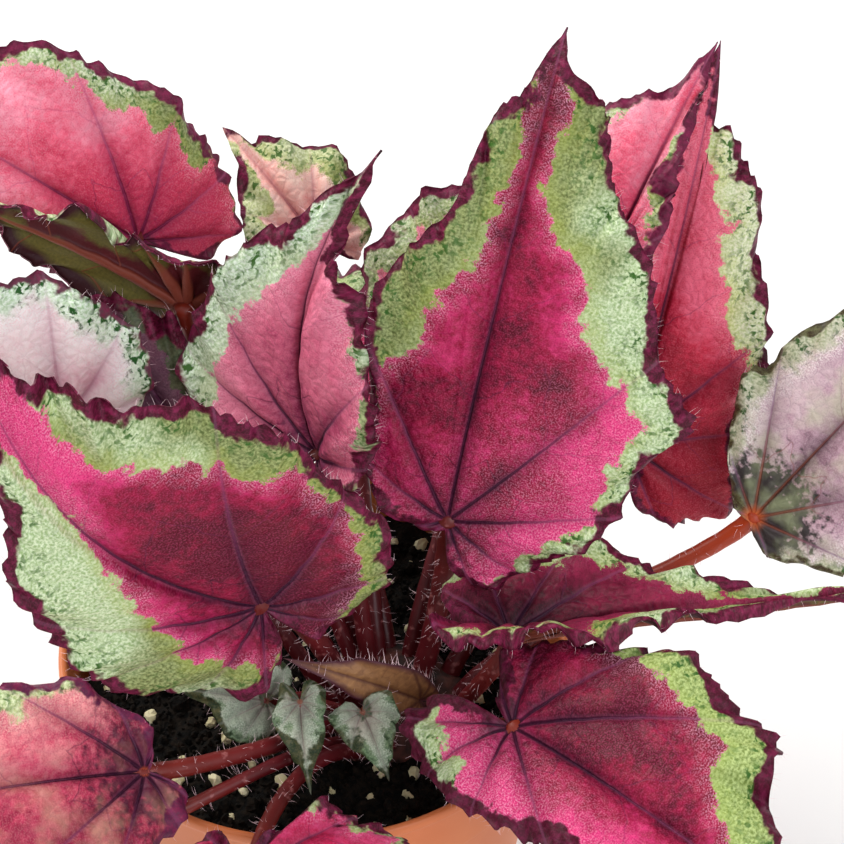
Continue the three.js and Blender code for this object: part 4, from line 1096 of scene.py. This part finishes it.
def tube(line, radius, sides):
    """Points in rings round a line, turned as little as possible from step to step, the faces,
    and the way out at each point."""
    step = np.gradient(line, axis=0)
    step /= np.linalg.norm(step, axis=1, keepdims=True)
    first = unit(np.cross(step[0], [1, 0.2, 0.1]))
    firsts = []
    for direction in step:
        first = unit(first - direction * first.dot(direction))
        firsts.append(first)
    firsts = np.array(firsts)
    seconds = np.cross(step, firsts)
    angle = ring_turns(sides)
    out = np.cos(angle)[None, :, None] * firsts[:, None] + np.sin(angle)[None, :, None] * seconds[:, None]
    points = (line[:, None] + out * radius[:, None, None]).reshape(-1, 3)
    starts = range(0, len(points), sides)
    caps = [list(range(sides))[::-1], list(range(starts[-1], len(points)))]
    return points, ring_quads(starts, sides) + caps, out.reshape(-1, 3)


print("feet of the stalks stand", FOOT_RINGS, "mm from the crown's axis")

# %% Stalks
STALK_RINGS = 44
STALK_SIDES = 14
# Swellings as shares of the radius, and how far along the stalk they reach.
FOOT_SWELL, FOOT_REACH = 0.12, 0.08
HUB_SWELL, HUB_REACH = 0.16, 0.05
WAIST = 0.06
# How orange the stalk is below the blade, where it isn't nearly all red.
WARM = {"right": 1.0, "low_left": 0.25, "underside_left": 0.35, "front": 0.3, "front_right": 0.4,
        "low_front_left": 0.5}

stalk_lines = {}
for leaf in LEAVES:
    line, reach = stalk_points(leaf, STALK_RINGS)
    along = np.linspace(0, 1, STALK_RINGS)
    swell = (1.0 + FOOT_SWELL * np.exp(-along / FOOT_REACH) + HUB_SWELL * np.exp(-(1 - along) / HUB_REACH)
             - WAIST * np.sin(np.pi * along))
    swell *= 1 + 0.03 * np.sin(along * reach * 0.9 + leaf["seed"])
    points, faces, out = tube(line, leaf["stalk"] * swell, STALK_SIDES)
    warm = np.full(len(points), WARM.get(leaf["name"], 0.15))
    stalk = new_piece("petiole_" + leaf["name"], points, faces, [STALK_SKIN],
                      {"along": np.repeat(along, STALK_SIDES), "warm": warm})
    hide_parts("stalk_" + leaf["name"])
    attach(stalk, "root")
    stalk_lines[leaf["name"]] = (points, out, reach)
print("stalk lengths in mm:", {name: round(reach) for name, (_, _, reach) in stalk_lines.items()})

# %% [markdown]
# ## Crown
# The stalks rise from a short knobbly rootstock at the level of the soil. It could be sculpted,
# but only bits of it show between the stalks, so it is a round lump pushed in and out by a formula.

# %% Crown
CROWN_RADIUS = 18.2
CROWN_MIDDLE = 91.25
CROWN_HALF_HEIGHT = 7.0
CROWN_TOP = 98.3
CROWN_BOTTOM = 84.2

CROWN_BARK, add = new_material("rough brown rootstock")
# Corky bark: fully matt, brown on its ridges and nearly black between them.
rough = add("noise", add("place"), 260.0, 6.0)
colour = add("ramp", rough, stops=((0.35, "#140B08"), (0.72, "#5A2A20")))
add("output", add("skin", colour, 0.85, add("bump", rough, 0.8, 0.0012)))

# Knobs run down the lump as waves round it, and its top is wavier than its underside.
rows, columns = 30, 64
theta = np.linspace(0, np.pi, rows + 1)[1:-1]
down, round_it = [a.ravel() for a in np.meshgrid(theta, ring_turns(columns), indexing="ij")]
side_share = np.sin(down)
widen = np.minimum(1, side_share**0.6 + 0.02)
knob = (1 + 0.05 * np.sin(5 * round_it + 4 * np.cos(down)) * side_share
        + 0.035 * np.sin(11 * round_it - 3 * np.cos(down)) * side_share)
height = np.sign(np.cos(down)) * np.abs(np.cos(down)) ** 0.7 * CROWN_HALF_HEIGHT
height = height + 0.5 * np.sin(7 * round_it) * side_share * (np.cos(down) > 0)
x = CROWN_CENTRE[0] + CROWN_RADIUS * widen * knob * np.cos(round_it)
y = CROWN_CENTRE[1] + CROWN_RADIUS * widen * knob * np.sin(round_it)
points = np.vstack([np.stack([x, y, CROWN_MIDDLE + height], axis=1),
                    [*CROWN_CENTRE, CROWN_TOP], [*CROWN_CENTRE, CROWN_BOTTOM]])
top, bottom = len(x), len(x) + 1
starts = range(0, top, columns)
faces = ring_quads(starts, columns, flip=True)
for a in range(columns):
    b = (a + 1) % columns
    faces.append((top, a, b))
    faces.append((bottom, starts[-1] + b, starts[-1] + a))
crown = new_piece("rootstock", points, faces, [CROWN_BARK])
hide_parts("crown")
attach(crown, "root")
print("crown", len(faces), "faces")

# %% [markdown]
# ## Sheath
# Beside the crown stands a dry sheath, the papery tan bract that once wrapped a young leaf. It
# could be a bent sheet, but it grows as a leaf does, so it takes the leaf's surface with its own
# narrow outline and deep fold, finer steps, and a dry skin on both faces.

# %% Sheath
SHEATH_STEP = 0.5
SHEATH_THICKNESS = 0.7

SHEATH_SKIN, add = new_material("dry papery sheath")
# Dry plant paper: tan and brown in turn from its fibres, darker at keel and rim, with little shine.
vein_mm = add("value", attribute_name="vein_mm")
margin_mm = add("value", attribute_name="margin_mm")
fibre = add("noise", add("flat map"), UV_UNIT_MM / 1.5, 5.0, 0.6)
tan = add("mix", fibre, "#5A2E1C", "#BE8A56")
at_rim = add("range", margin_mm, 1.6, 0.2)
keel = add("range", vein_mm, 0.7, 0.1, 0.0, 0.7)
colour = layered(add, tan, ((at_rim, "#4E1A2A"), (keel, "#4A1A1E")))
add("output", add("skin", colour, 0.6, add("bump", fibre, 0.6, 0.0004)))
for bract in BRACTS:
    skins = [SHEATH_SKIN, SHEATH_SKIN]
    sheath = blade_piece(bract, skins, [(-1, 0), (1, 0)], (0, 0), SHEATH_STEP, SHEATH_STEP,
                         thickness=SHEATH_THICKNESS, fine=0.5)
    sheath.name = "dry_sheath"
    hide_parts("sheath")
    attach(sheath, "root")
print("sheath", len(sheath.data.polygons), "faces")

# %% [markdown]
# ## Geometry Nodes from Python
# What repeats thousands of times is work for Geometry Nodes. A tree gets named inputs for its
# sizes, so that it can serve several pieces. The modifier that runs it knows an input only by an
# identifier, so that is looked up, and the outcome is kept as a plain mesh.

# %% Geometry Nodes helpers
# A random spin goes up to this, in radians.
ANY_SPIN = 6.283


def new_nodes(name, numbers):
    """An empty Geometry Nodes tree with named inputs, put for it, and its input sockets."""
    tree = bpy.data.node_groups.new(name, "GeometryNodeTree")
    for direction in ("INPUT", "OUTPUT"):
        tree.interface.new_socket("Geometry", in_out=direction, socket_type="NodeSocketGeometry")
    for key, default in numbers.items():
        kind = "NodeSocketInt" if isinstance(default, int) else "NodeSocketFloat"
        tree.interface.new_socket(key, in_out="INPUT", socket_type=kind).default_value = default
    tree.interface.new_socket("Material", in_out="INPUT", socket_type="NodeSocketMaterial")
    return tree, partial(put, tree), put(tree, "NodeGroupInput").node.outputs


def finish_nodes(piece, tree, values):
    """Runs a node tree on a piece and keeps the result as a plain mesh."""
    modifier = piece.modifiers.new("nodes", "NODES")
    modifier.node_group = tree
    sockets = {item.name: item.identifier for item in tree.interface.items_tree if item.in_out == "INPUT"}
    for name, value in values.items():
        modifier[sockets[name]] = value
    bpy.context.view_layer.update()
    made = bpy.data.meshes.new_from_object(piece.evaluated_get(bpy.context.evaluated_depsgraph_get()))
    piece.modifiers.remove(modifier)
    piece.data = made


print("random spins up to", ANY_SPIN, "radians")

# %% [markdown]
# ## Bristles
# Stalks, sheath and leaf margins carry soft pale bristles one to three millimetres long. Hair
# curves would be lost in the export, so each bristle is a bent cone of three sides. Python marks
# each root with a direction and a length, and the tree puts one cone on every root.

# %% Bristle tree
BRISTLE_SIDES = 3
BRISTLE_TOP = 0.004
BRISTLE_BEND = 0.28

BRISTLE, add = new_material("pale translucent bristle")
# Thin clear hair: pale pink and half shiny, it glitters along the edge of a leaf.
add("output", add("skin", "#F2CFD4", 0.45))

bristles, add, given = new_nodes("bristles on marked roots",
                                 {"Slenderness": 0.03, "Spread": 0.35, "Seed": 1})
# One cone, one unit tall: its tip leans over by the square of the height.
cone = add("GeometryNodeMeshCone", {"Vertices": BRISTLE_SIDES, "Side Segments": 3, "Radius Top": BRISTLE_TOP,
                                    "Radius Bottom": given["Slenderness"], "Depth": 1.0}, fill_type="NONE")
height = add("ShaderNodeSeparateXYZ", {0: add("GeometryNodeInputPosition")}).node.outputs["Z"]
lean = add("MULTIPLY", add("POWER", height, 2.0), BRISTLE_BEND)
offset = add("ShaderNodeCombineXYZ", {"X": lean})
bent = add("GeometryNodeSetPosition", {"Geometry": cone, "Offset": offset})
# Each bristle points along its root's direction, give or take a little, and is turned at random.
direction = add("GeometryNodeInputNamedAttribute", {"Name": "direction"}, data_type="FLOAT_VECTOR")
size = add("GeometryNodeInputNamedAttribute", {"Name": "size"}, data_type="FLOAT")
stray = add("FunctionNodeRandomValue", {0: (-1, -1, -1), 1: (1, 1, 1), "Seed": given["Seed"]},
            data_type="FLOAT_VECTOR")
stray = add("ShaderNodeVectorMath", {0: stray, "Scale": given["Spread"]}, operation="SCALE")
aim = add("ShaderNodeVectorMath", {0: direction, 1: stray}, operation="ADD")
turned = add("FunctionNodeAlignRotationToVector", {"Vector": aim}, axis="Z")
spin = add("FunctionNodeRandomValue", {2: 0.0, 3: ANY_SPIN, "Seed": given["Seed"]},
           data_type="FLOAT").node.outputs[1]
spin = add("FunctionNodeAxisAngleToRotation", {"Axis": (0, 0, 1), "Angle": spin})
turned = add("FunctionNodeRotateRotation", {0: turned, 1: spin}, rotation_space="LOCAL")
placed = add("GeometryNodeInstanceOnPoints", {"Points": given["Geometry"], "Instance": bent,
                                              "Rotation": turned, "Scale": size})
real = add("GeometryNodeRealizeInstances", {0: placed})
painted = add("GeometryNodeSetMaterial", {0: real, "Material": given["Material"]})
add("NodeGroupOutput", {0: painted})
print("bristle tree", len(bristles.nodes), "nodes")

# %% [markdown]
# ## Where bristles stand
# A stalk is hairy all round, except close to its ends. A margin carries a fringe that points away
# from the leaf in its own plane, and on the dry sheath that fringe is denser and longer. Roots are
# drawn at random among the points of the meshes above and sunk a little into the skin.

# %% Bristles on stalks, margins and sheath
# For a stalk 2 mm in radius; a thicker one has more.
STALK_HAIRS_PER_MM = 1.5
# Rings of the stalk that stay bare at its foot and under the blade.
BARE_RINGS_LOW, BARE_RINGS_HIGH = 4, 2
MARGIN_HAIR_SHARE, SHEATH_HAIR_SHARE = 0.75, 0.95
HAIR_MM = {"stalk": (1.0, 2.6), "margin": (1.0, 2.4), "sheath": (1.0, 3.6)}
# How deep a root sits in the stalk, inside the margin and under the upper face, in mm.
STALK_SINK, MARGIN_SINK, FACE_SINK = 0.1, 0.15, 0.25
DROOP, UNEVEN = 0.15, 0.35


def bristle_piece(name, marks, values):
    """One mesh of bristles from lists of root points (mm), directions and lengths (mm)."""
    roots, directions, lengths = [np.concatenate(part) for part in zip(*marks)]
    piece = new_piece(name, roots, [], [], {"direction": directions, "size": lengths * MM})
    finish_nodes(piece, bristles, {**values, "Material": BRISTLE})
    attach(piece, "root")
    return piece


draw = np.random.default_rng(8)
marks = []
for leaf in LEAVES:
    points, out, reach = stalk_lines[leaf["name"]]
    count = int(reach * STALK_HAIRS_PER_MM * leaf["stalk"] / 2)
    picked = draw.integers(STALK_SIDES * BARE_RINGS_LOW, len(points) - STALK_SIDES * BARE_RINGS_HIGH, count)
    marks.append((points[picked] - STALK_SINK * out[picked], out[picked] + [0, 0, -DROOP],
                  draw.uniform(*HAIR_MM["stalk"], count)))
STALK_HAIR = {"Seed": 3, "Spread": 0.45, "Slenderness": 0.028}
stalk_hair = bristle_piece("stalk_bristles", marks, STALK_HAIR)
marks = []
for leaf in LEAVES + BRACTS:
    places, normals = leaf["margin"]
    out = np.cross(normals, np.roll(places, -1, axis=0) - np.roll(places, 1, axis=0))
    out /= np.maximum(np.linalg.norm(out, axis=1, keepdims=True), 1e-6)
    out *= np.sign((out * (places - leaf["hub"])).sum(1, keepdims=True) + 1e-9)
    on_sheath = leaf["name"] == "sheath"
    keep = draw.random(len(places)) < (SHEATH_HAIR_SHARE if on_sheath else MARGIN_HAIR_SHARE)
    marks.append((places[keep] - MARGIN_SINK * out[keep] - FACE_SINK * normals[keep],
                  out[keep] + draw.normal(0, UNEVEN, (keep.sum(), 3)),
                  draw.uniform(*HAIR_MM["sheath" if on_sheath else "margin"], keep.sum())))
MARGIN_HAIR = {"Seed": 5, "Spread": 0.3, "Slenderness": 0.026}
margin_hair = bristle_piece("margin_bristles", marks, MARGIN_HAIR)
print("bristles:", len(stalk_hair.data.polygons), "and", len(margin_hair.data.polygons), "faces")

# %% [markdown]
# ## Soil
# Potting soil is dark moist peat. A flat disc with a bump map looks painted, so its top is a mesh
# with broad lumps and small crumbs from a few sine waves. Its side follows the inside of the pot
# down to the floor, as the plain solid does.

# %% Soil body
PEAT, add = new_material("dark moist peat")
# Moist peat swallows light: nearly black, fully matt and rough down to its crumbs.
crumb = add("noise", add("place"), 600.0, 6.0)
colour = add("ramp", crumb, stops=((0.4, "#050403"), (0.75, "#20170F")))
bump = add("bump", crumb, 1.0, 0.0012)
add("output", add("skin", colour, 0.9, bump, {"Specular IOR Level": 0.15}))

SOIL_RADIUS = 54.0
SOIL_TOP = 93
# Radius and height in mm of the rings that follow the pot's wall down to its floor.
SOIL_SIDE = ((SOIL_RADIUS, 84.0), (42.3, 5.0), (40.4, 2.5))


def soil_height(x, y):
    """Height of the soil in mm: broad lumps and small crumbs."""
    lumps = np.sin(0.31 * x + 1.3) * np.cos(0.27 * y - 0.4) + 0.6 * np.sin(0.73 * x - 0.57 * y)
    crumbs = (0.35 * np.sin(1.7 * x + 0.9 * y) * np.sin(1.3 * y - 0.7 * x)
              + 0.2 * np.sin(3.1 * x) * np.cos(2.7 * y))
    return SOIL_TOP + 1.5 * lumps / 1.6 + crumbs


columns, rows = 180, 60
phi = ring_turns(columns)
radii = SOIL_RADIUS * np.arange(1, rows + 1) / rows
radius, round_it = [a.ravel() for a in np.meshgrid(radii, phi, indexing="ij")]
x, y = radius * np.cos(round_it), radius * np.sin(round_it)
top = np.vstack([[0, 0, float(soil_height(0.0, 0.0))], np.stack([x, y, soil_height(x, y)], axis=1)])
side = [np.stack([wide * np.cos(phi), wide * np.sin(phi), np.full(columns, level)], axis=1)
        for wide, level in SOIL_SIDE]
points = np.vstack([top, *side])
starts = range(1, len(points), columns)
faces = [(0, 1 + a, 1 + (a + 1) % columns) for a in range(columns)]
faces += ring_quads(starts, columns, flip=True)
faces.append(list(range(starts[-1], len(points)))[::-1])
soil = new_piece("potting_soil", points, faces, [PEAT])
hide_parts("soil")
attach(soil, "root")
print("soil", len(faces), "faces")

# %% [markdown]
# ## Crumbs on the soil
# Loose crumbs and grains lie on top. They could be placed by hand or by particles, but a tree can
# keep them apart by their own spacing, so that none sits inside another, and dent each of them in
# its own way. It serves for every kind of grain by its inputs.

# %% Scattering tree
scatter, add, given = new_nodes("crumbs scattered on a surface", {
    "Spacing": 0.002, "Density": 1000.0, "Smallest": 0.0005, "Largest": 0.0015, "Detail": 1,
    "Dents": 0.5, "Seed": 1})
thrown = add("GeometryNodeDistributePointsOnFaces", {
    0: given["Geometry"], "Distance Min": given["Spacing"], "Density Max": given["Density"],
    "Seed": given["Seed"]}, distribute_method="POISSON")
# Every grain is a ball, turned at random and squashed to its own size.
ball = add("GeometryNodeMeshIcoSphere", {"Radius": 1.0, "Subdivisions": given["Detail"]})
size = add("FunctionNodeRandomValue", {2: given["Smallest"], 3: given["Largest"], "Seed": given["Seed"]},
           data_type="FLOAT").node.outputs[1]
spin = add("FunctionNodeRandomValue", {1: (ANY_SPIN, ANY_SPIN, ANY_SPIN), "Seed": given["Seed"]},
           data_type="FLOAT_VECTOR")
squash = add("FunctionNodeRandomValue", {0: (0.7, 0.7, 0.5), 1: (1.3, 1.2, 0.9), "Seed": given["Seed"]},
             data_type="FLOAT_VECTOR")
scale = add("ShaderNodeVectorMath", {0: squash, "Scale": size}, operation="SCALE")
turn = add("FunctionNodeEulerToRotation", {0: spin})
placed = add("GeometryNodeInstanceOnPoints", {"Points": thrown, "Instance": ball, "Rotation": turn,
                                              "Scale": scale})
real = add("GeometryNodeRealizeInstances", {0: placed})
# Dents come from a noise in space, so no two grains have the same ones.
dents = add("noise", add("GeometryNodeInputPosition"), 900.0, 1.0).node.outputs["Color"]
dents = add("ShaderNodeVectorMath", {0: dents, 1: (0.5, 0.5, 0.5)}, operation="SUBTRACT")
depth = add("MULTIPLY", given["Largest"], given["Dents"])
dents = add("ShaderNodeVectorMath", {0: dents, "Scale": depth}, operation="SCALE")
dented = add("GeometryNodeSetPosition", {"Geometry": real, "Offset": dents})
painted = add("GeometryNodeSetMaterial", {0: dented, "Material": given["Material"]})
add("NodeGroupOutput", {0: painted})
print("scattering tree", len(scatter.nodes), "nodes")

# %% [markdown]
# ## Peat and perlite
# Three kinds of grain are thrown on the soil: fine peat crumbs, larger peat lumps and perlite,
# a pale puffed mineral that catches the light. Each has its own spacing, size and seed.

# %% Crumbs, lumps and perlite
PERLITE, add = new_material("puffed perlite grain")
# Foamed volcanic glass: chalk-white, stained yellow by the peat's water, matt and pitted.
stain = add("noise", add("place"), 300.0, 3.0)
colour = add("mix", stain, "#8E7E36", "#F2EBC8")
add("output", add("skin", colour, 0.8, add("bump", stain, 0.6, 0.0004)))

# Grains are thrown up to this radius in mm, clear of the pot's wall, and lifted by this much.
SCATTER_RADIUS = 51
SCATTER_LIFT = 0.3
top_faces = faces[:int(rows * SCATTER_RADIUS / SOIL_RADIUS) * columns]
SCATTERED = [
    ("peat_crumbs", PEAT, {"Spacing": 0.0012, "Density": 420000.0, "Smallest": 0.0004, "Largest": 0.0012,
                           "Detail": 1, "Seed": 4}),
    ("peat_lumps", PEAT, {"Spacing": 0.004, "Density": 40000.0, "Smallest": 0.001, "Largest": 0.0022,
                          "Detail": 2, "Seed": 9}),
    ("perlite_grains", PERLITE, {"Spacing": 0.006, "Density": 24000.0, "Smallest": 0.0007, "Largest": 0.0022,
                                 "Detail": 2, "Seed": 6}),
]
for name, look, values in SCATTERED:
    piece = new_piece(name, top + [0, 0, SCATTER_LIFT], top_faces, [look])
    finish_nodes(piece, scatter, {**values, "Dents": 0.9, "Material": look})
    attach(piece, "root")
    print(name, len(piece.data.polygons), "faces")

# %% [markdown]
# ## Pot
# A thin moulded nursery pot: a tapered wall, a deeper collar with a rounded lip, six drain holes
# in the floor. It is a turned shape, so a profile is swept round the axis. The corners of the
# profile are cut twice to round them as a mould does, and the drain holes are cut by a Boolean.

# %% Pot material
POT_PLASTIC, add = new_material("moulded terracotta-coloured polypropylene")
# Slightly waxy plastic with a faint moulded grain, a little uneven in colour.
place = add("place")
colour = add("mix", add("noise", place, 35.0, 4.0), "#C4622F", "#DE8450")
bump = add("bump", add("noise", place, 2500.0, 2.0), 0.25, 0.0001)
add("output", add("skin", colour, 0.48, bump, {"IOR": 1.49}))
print("pot material ready")

# %% Pot profile
# Radius and height in mm, from the foot up the outside, over the lip and down the inside.
PROFILE = np.array([
    [41.5, 0], [42.5, 0.8], [44.5, 0.8], [56.2, 86], [58.2, 86.6], [59.2, 102], [60, 102.8], [59.7, 105],
    [58.4, 105], [57.7, 104.2], [56.5, 88], [54.5, 86], [42.8, 4.2], [40.8, 2.2]])
CUT_SHARE, CUT_MM = 0.25, 0.6
FOOT_BELOW, FLOOR_BELOW = 0.3, 1.5
for _ in range(2):
    before = np.roll(PROFILE, 1, axis=0)
    gap = np.linalg.norm(PROFILE - before, axis=1)
    step = (PROFILE - before) * np.minimum(CUT_SHARE, CUT_MM / gap)[:, None]
    PROFILE = np.stack([before + step, PROFILE - step], axis=1).reshape(-1, 2)
# It starts at the outer edge of the foot. Near its end low_in is the innermost point low down: the
# floor is a disc between the rings of that point and the next.
start = int(np.argmin(np.where(PROFILE[:, 1] < FOOT_BELOW, -PROFILE[:, 0], 0)))
PROFILE = np.roll(PROFILE, -start, axis=0)
low_in = int(np.argmin(PROFILE[:, 0] + np.where(PROFILE[:, 1] > FLOOR_BELOW, 0, 100)))
print("pot profile", len(PROFILE), "points")

# %% Pot mesh
POT_STEPS = 144
HOLES, HOLE_RING, HOLE_RADIUS, HOLE_SIDES = 6, 30, 4, 32
DRILL_FROM, DRILL_TO = -3, 6
SHARP_DEGREES = 35

phi = ring_turns(POT_STEPS)
count = len(PROFILE)
points = np.stack([np.outer(np.cos(phi), PROFILE[:, 0]), np.outer(np.sin(phi), PROFILE[:, 0]),
                   np.tile(PROFILE[:, 1], (POT_STEPS, 1))], axis=2).reshape(-1, 3)
starts = [a * count for a in range(POT_STEPS)]
faces = [face for k, face in enumerate(ring_quads([*starts, 0], count, flip=True)) if k % count != low_in]
faces.append([base + low_in for base in starts])
faces.append([base + (low_in + 1) % count for base in starts][::-1])
pot = new_piece("nursery_pot", points, faces, [POT_PLASTIC])

drill_points, drill_faces = [], []
for k in range(HOLES):
    turn = 2 * math.pi * (k + 0.5) / HOLES
    base = len(drill_points)
    for z in (DRILL_FROM, DRILL_TO):
        for around in ring_turns(HOLE_SIDES):
            x, y = [HOLE_RING * way(turn) + HOLE_RADIUS * way(around) for way in (math.cos, math.sin)]
            drill_points.append((x, y, z))
    drill_faces.append(list(range(base, base + HOLE_SIDES))[::-1])
    drill_faces.append(list(range(base + HOLE_SIDES, base + 2 * HOLE_SIDES)))
    drill_faces += ring_quads((base, base + HOLE_SIDES), HOLE_SIDES)
drill = new_piece("drill", drill_points, drill_faces, [POT_PLASTIC])
cut = pot.modifiers.new("drain holes", "BOOLEAN")
cut.operation = "DIFFERENCE"
cut.solver = "EXACT"
cut.object = drill
bpy.context.view_layer.update()
pot_mesh = bpy.data.meshes.new_from_object(pot.evaluated_get(bpy.context.evaluated_depsgraph_get()))
pot.modifiers.remove(cut)
pot.data = pot_mesh
bpy.data.objects.remove(drill)
pot.data.set_sharp_from_angle(angle=math.radians(SHARP_DEGREES))
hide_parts("pot")
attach(pot, "root")
print("pot", len(pot.data.polygons), "faces")
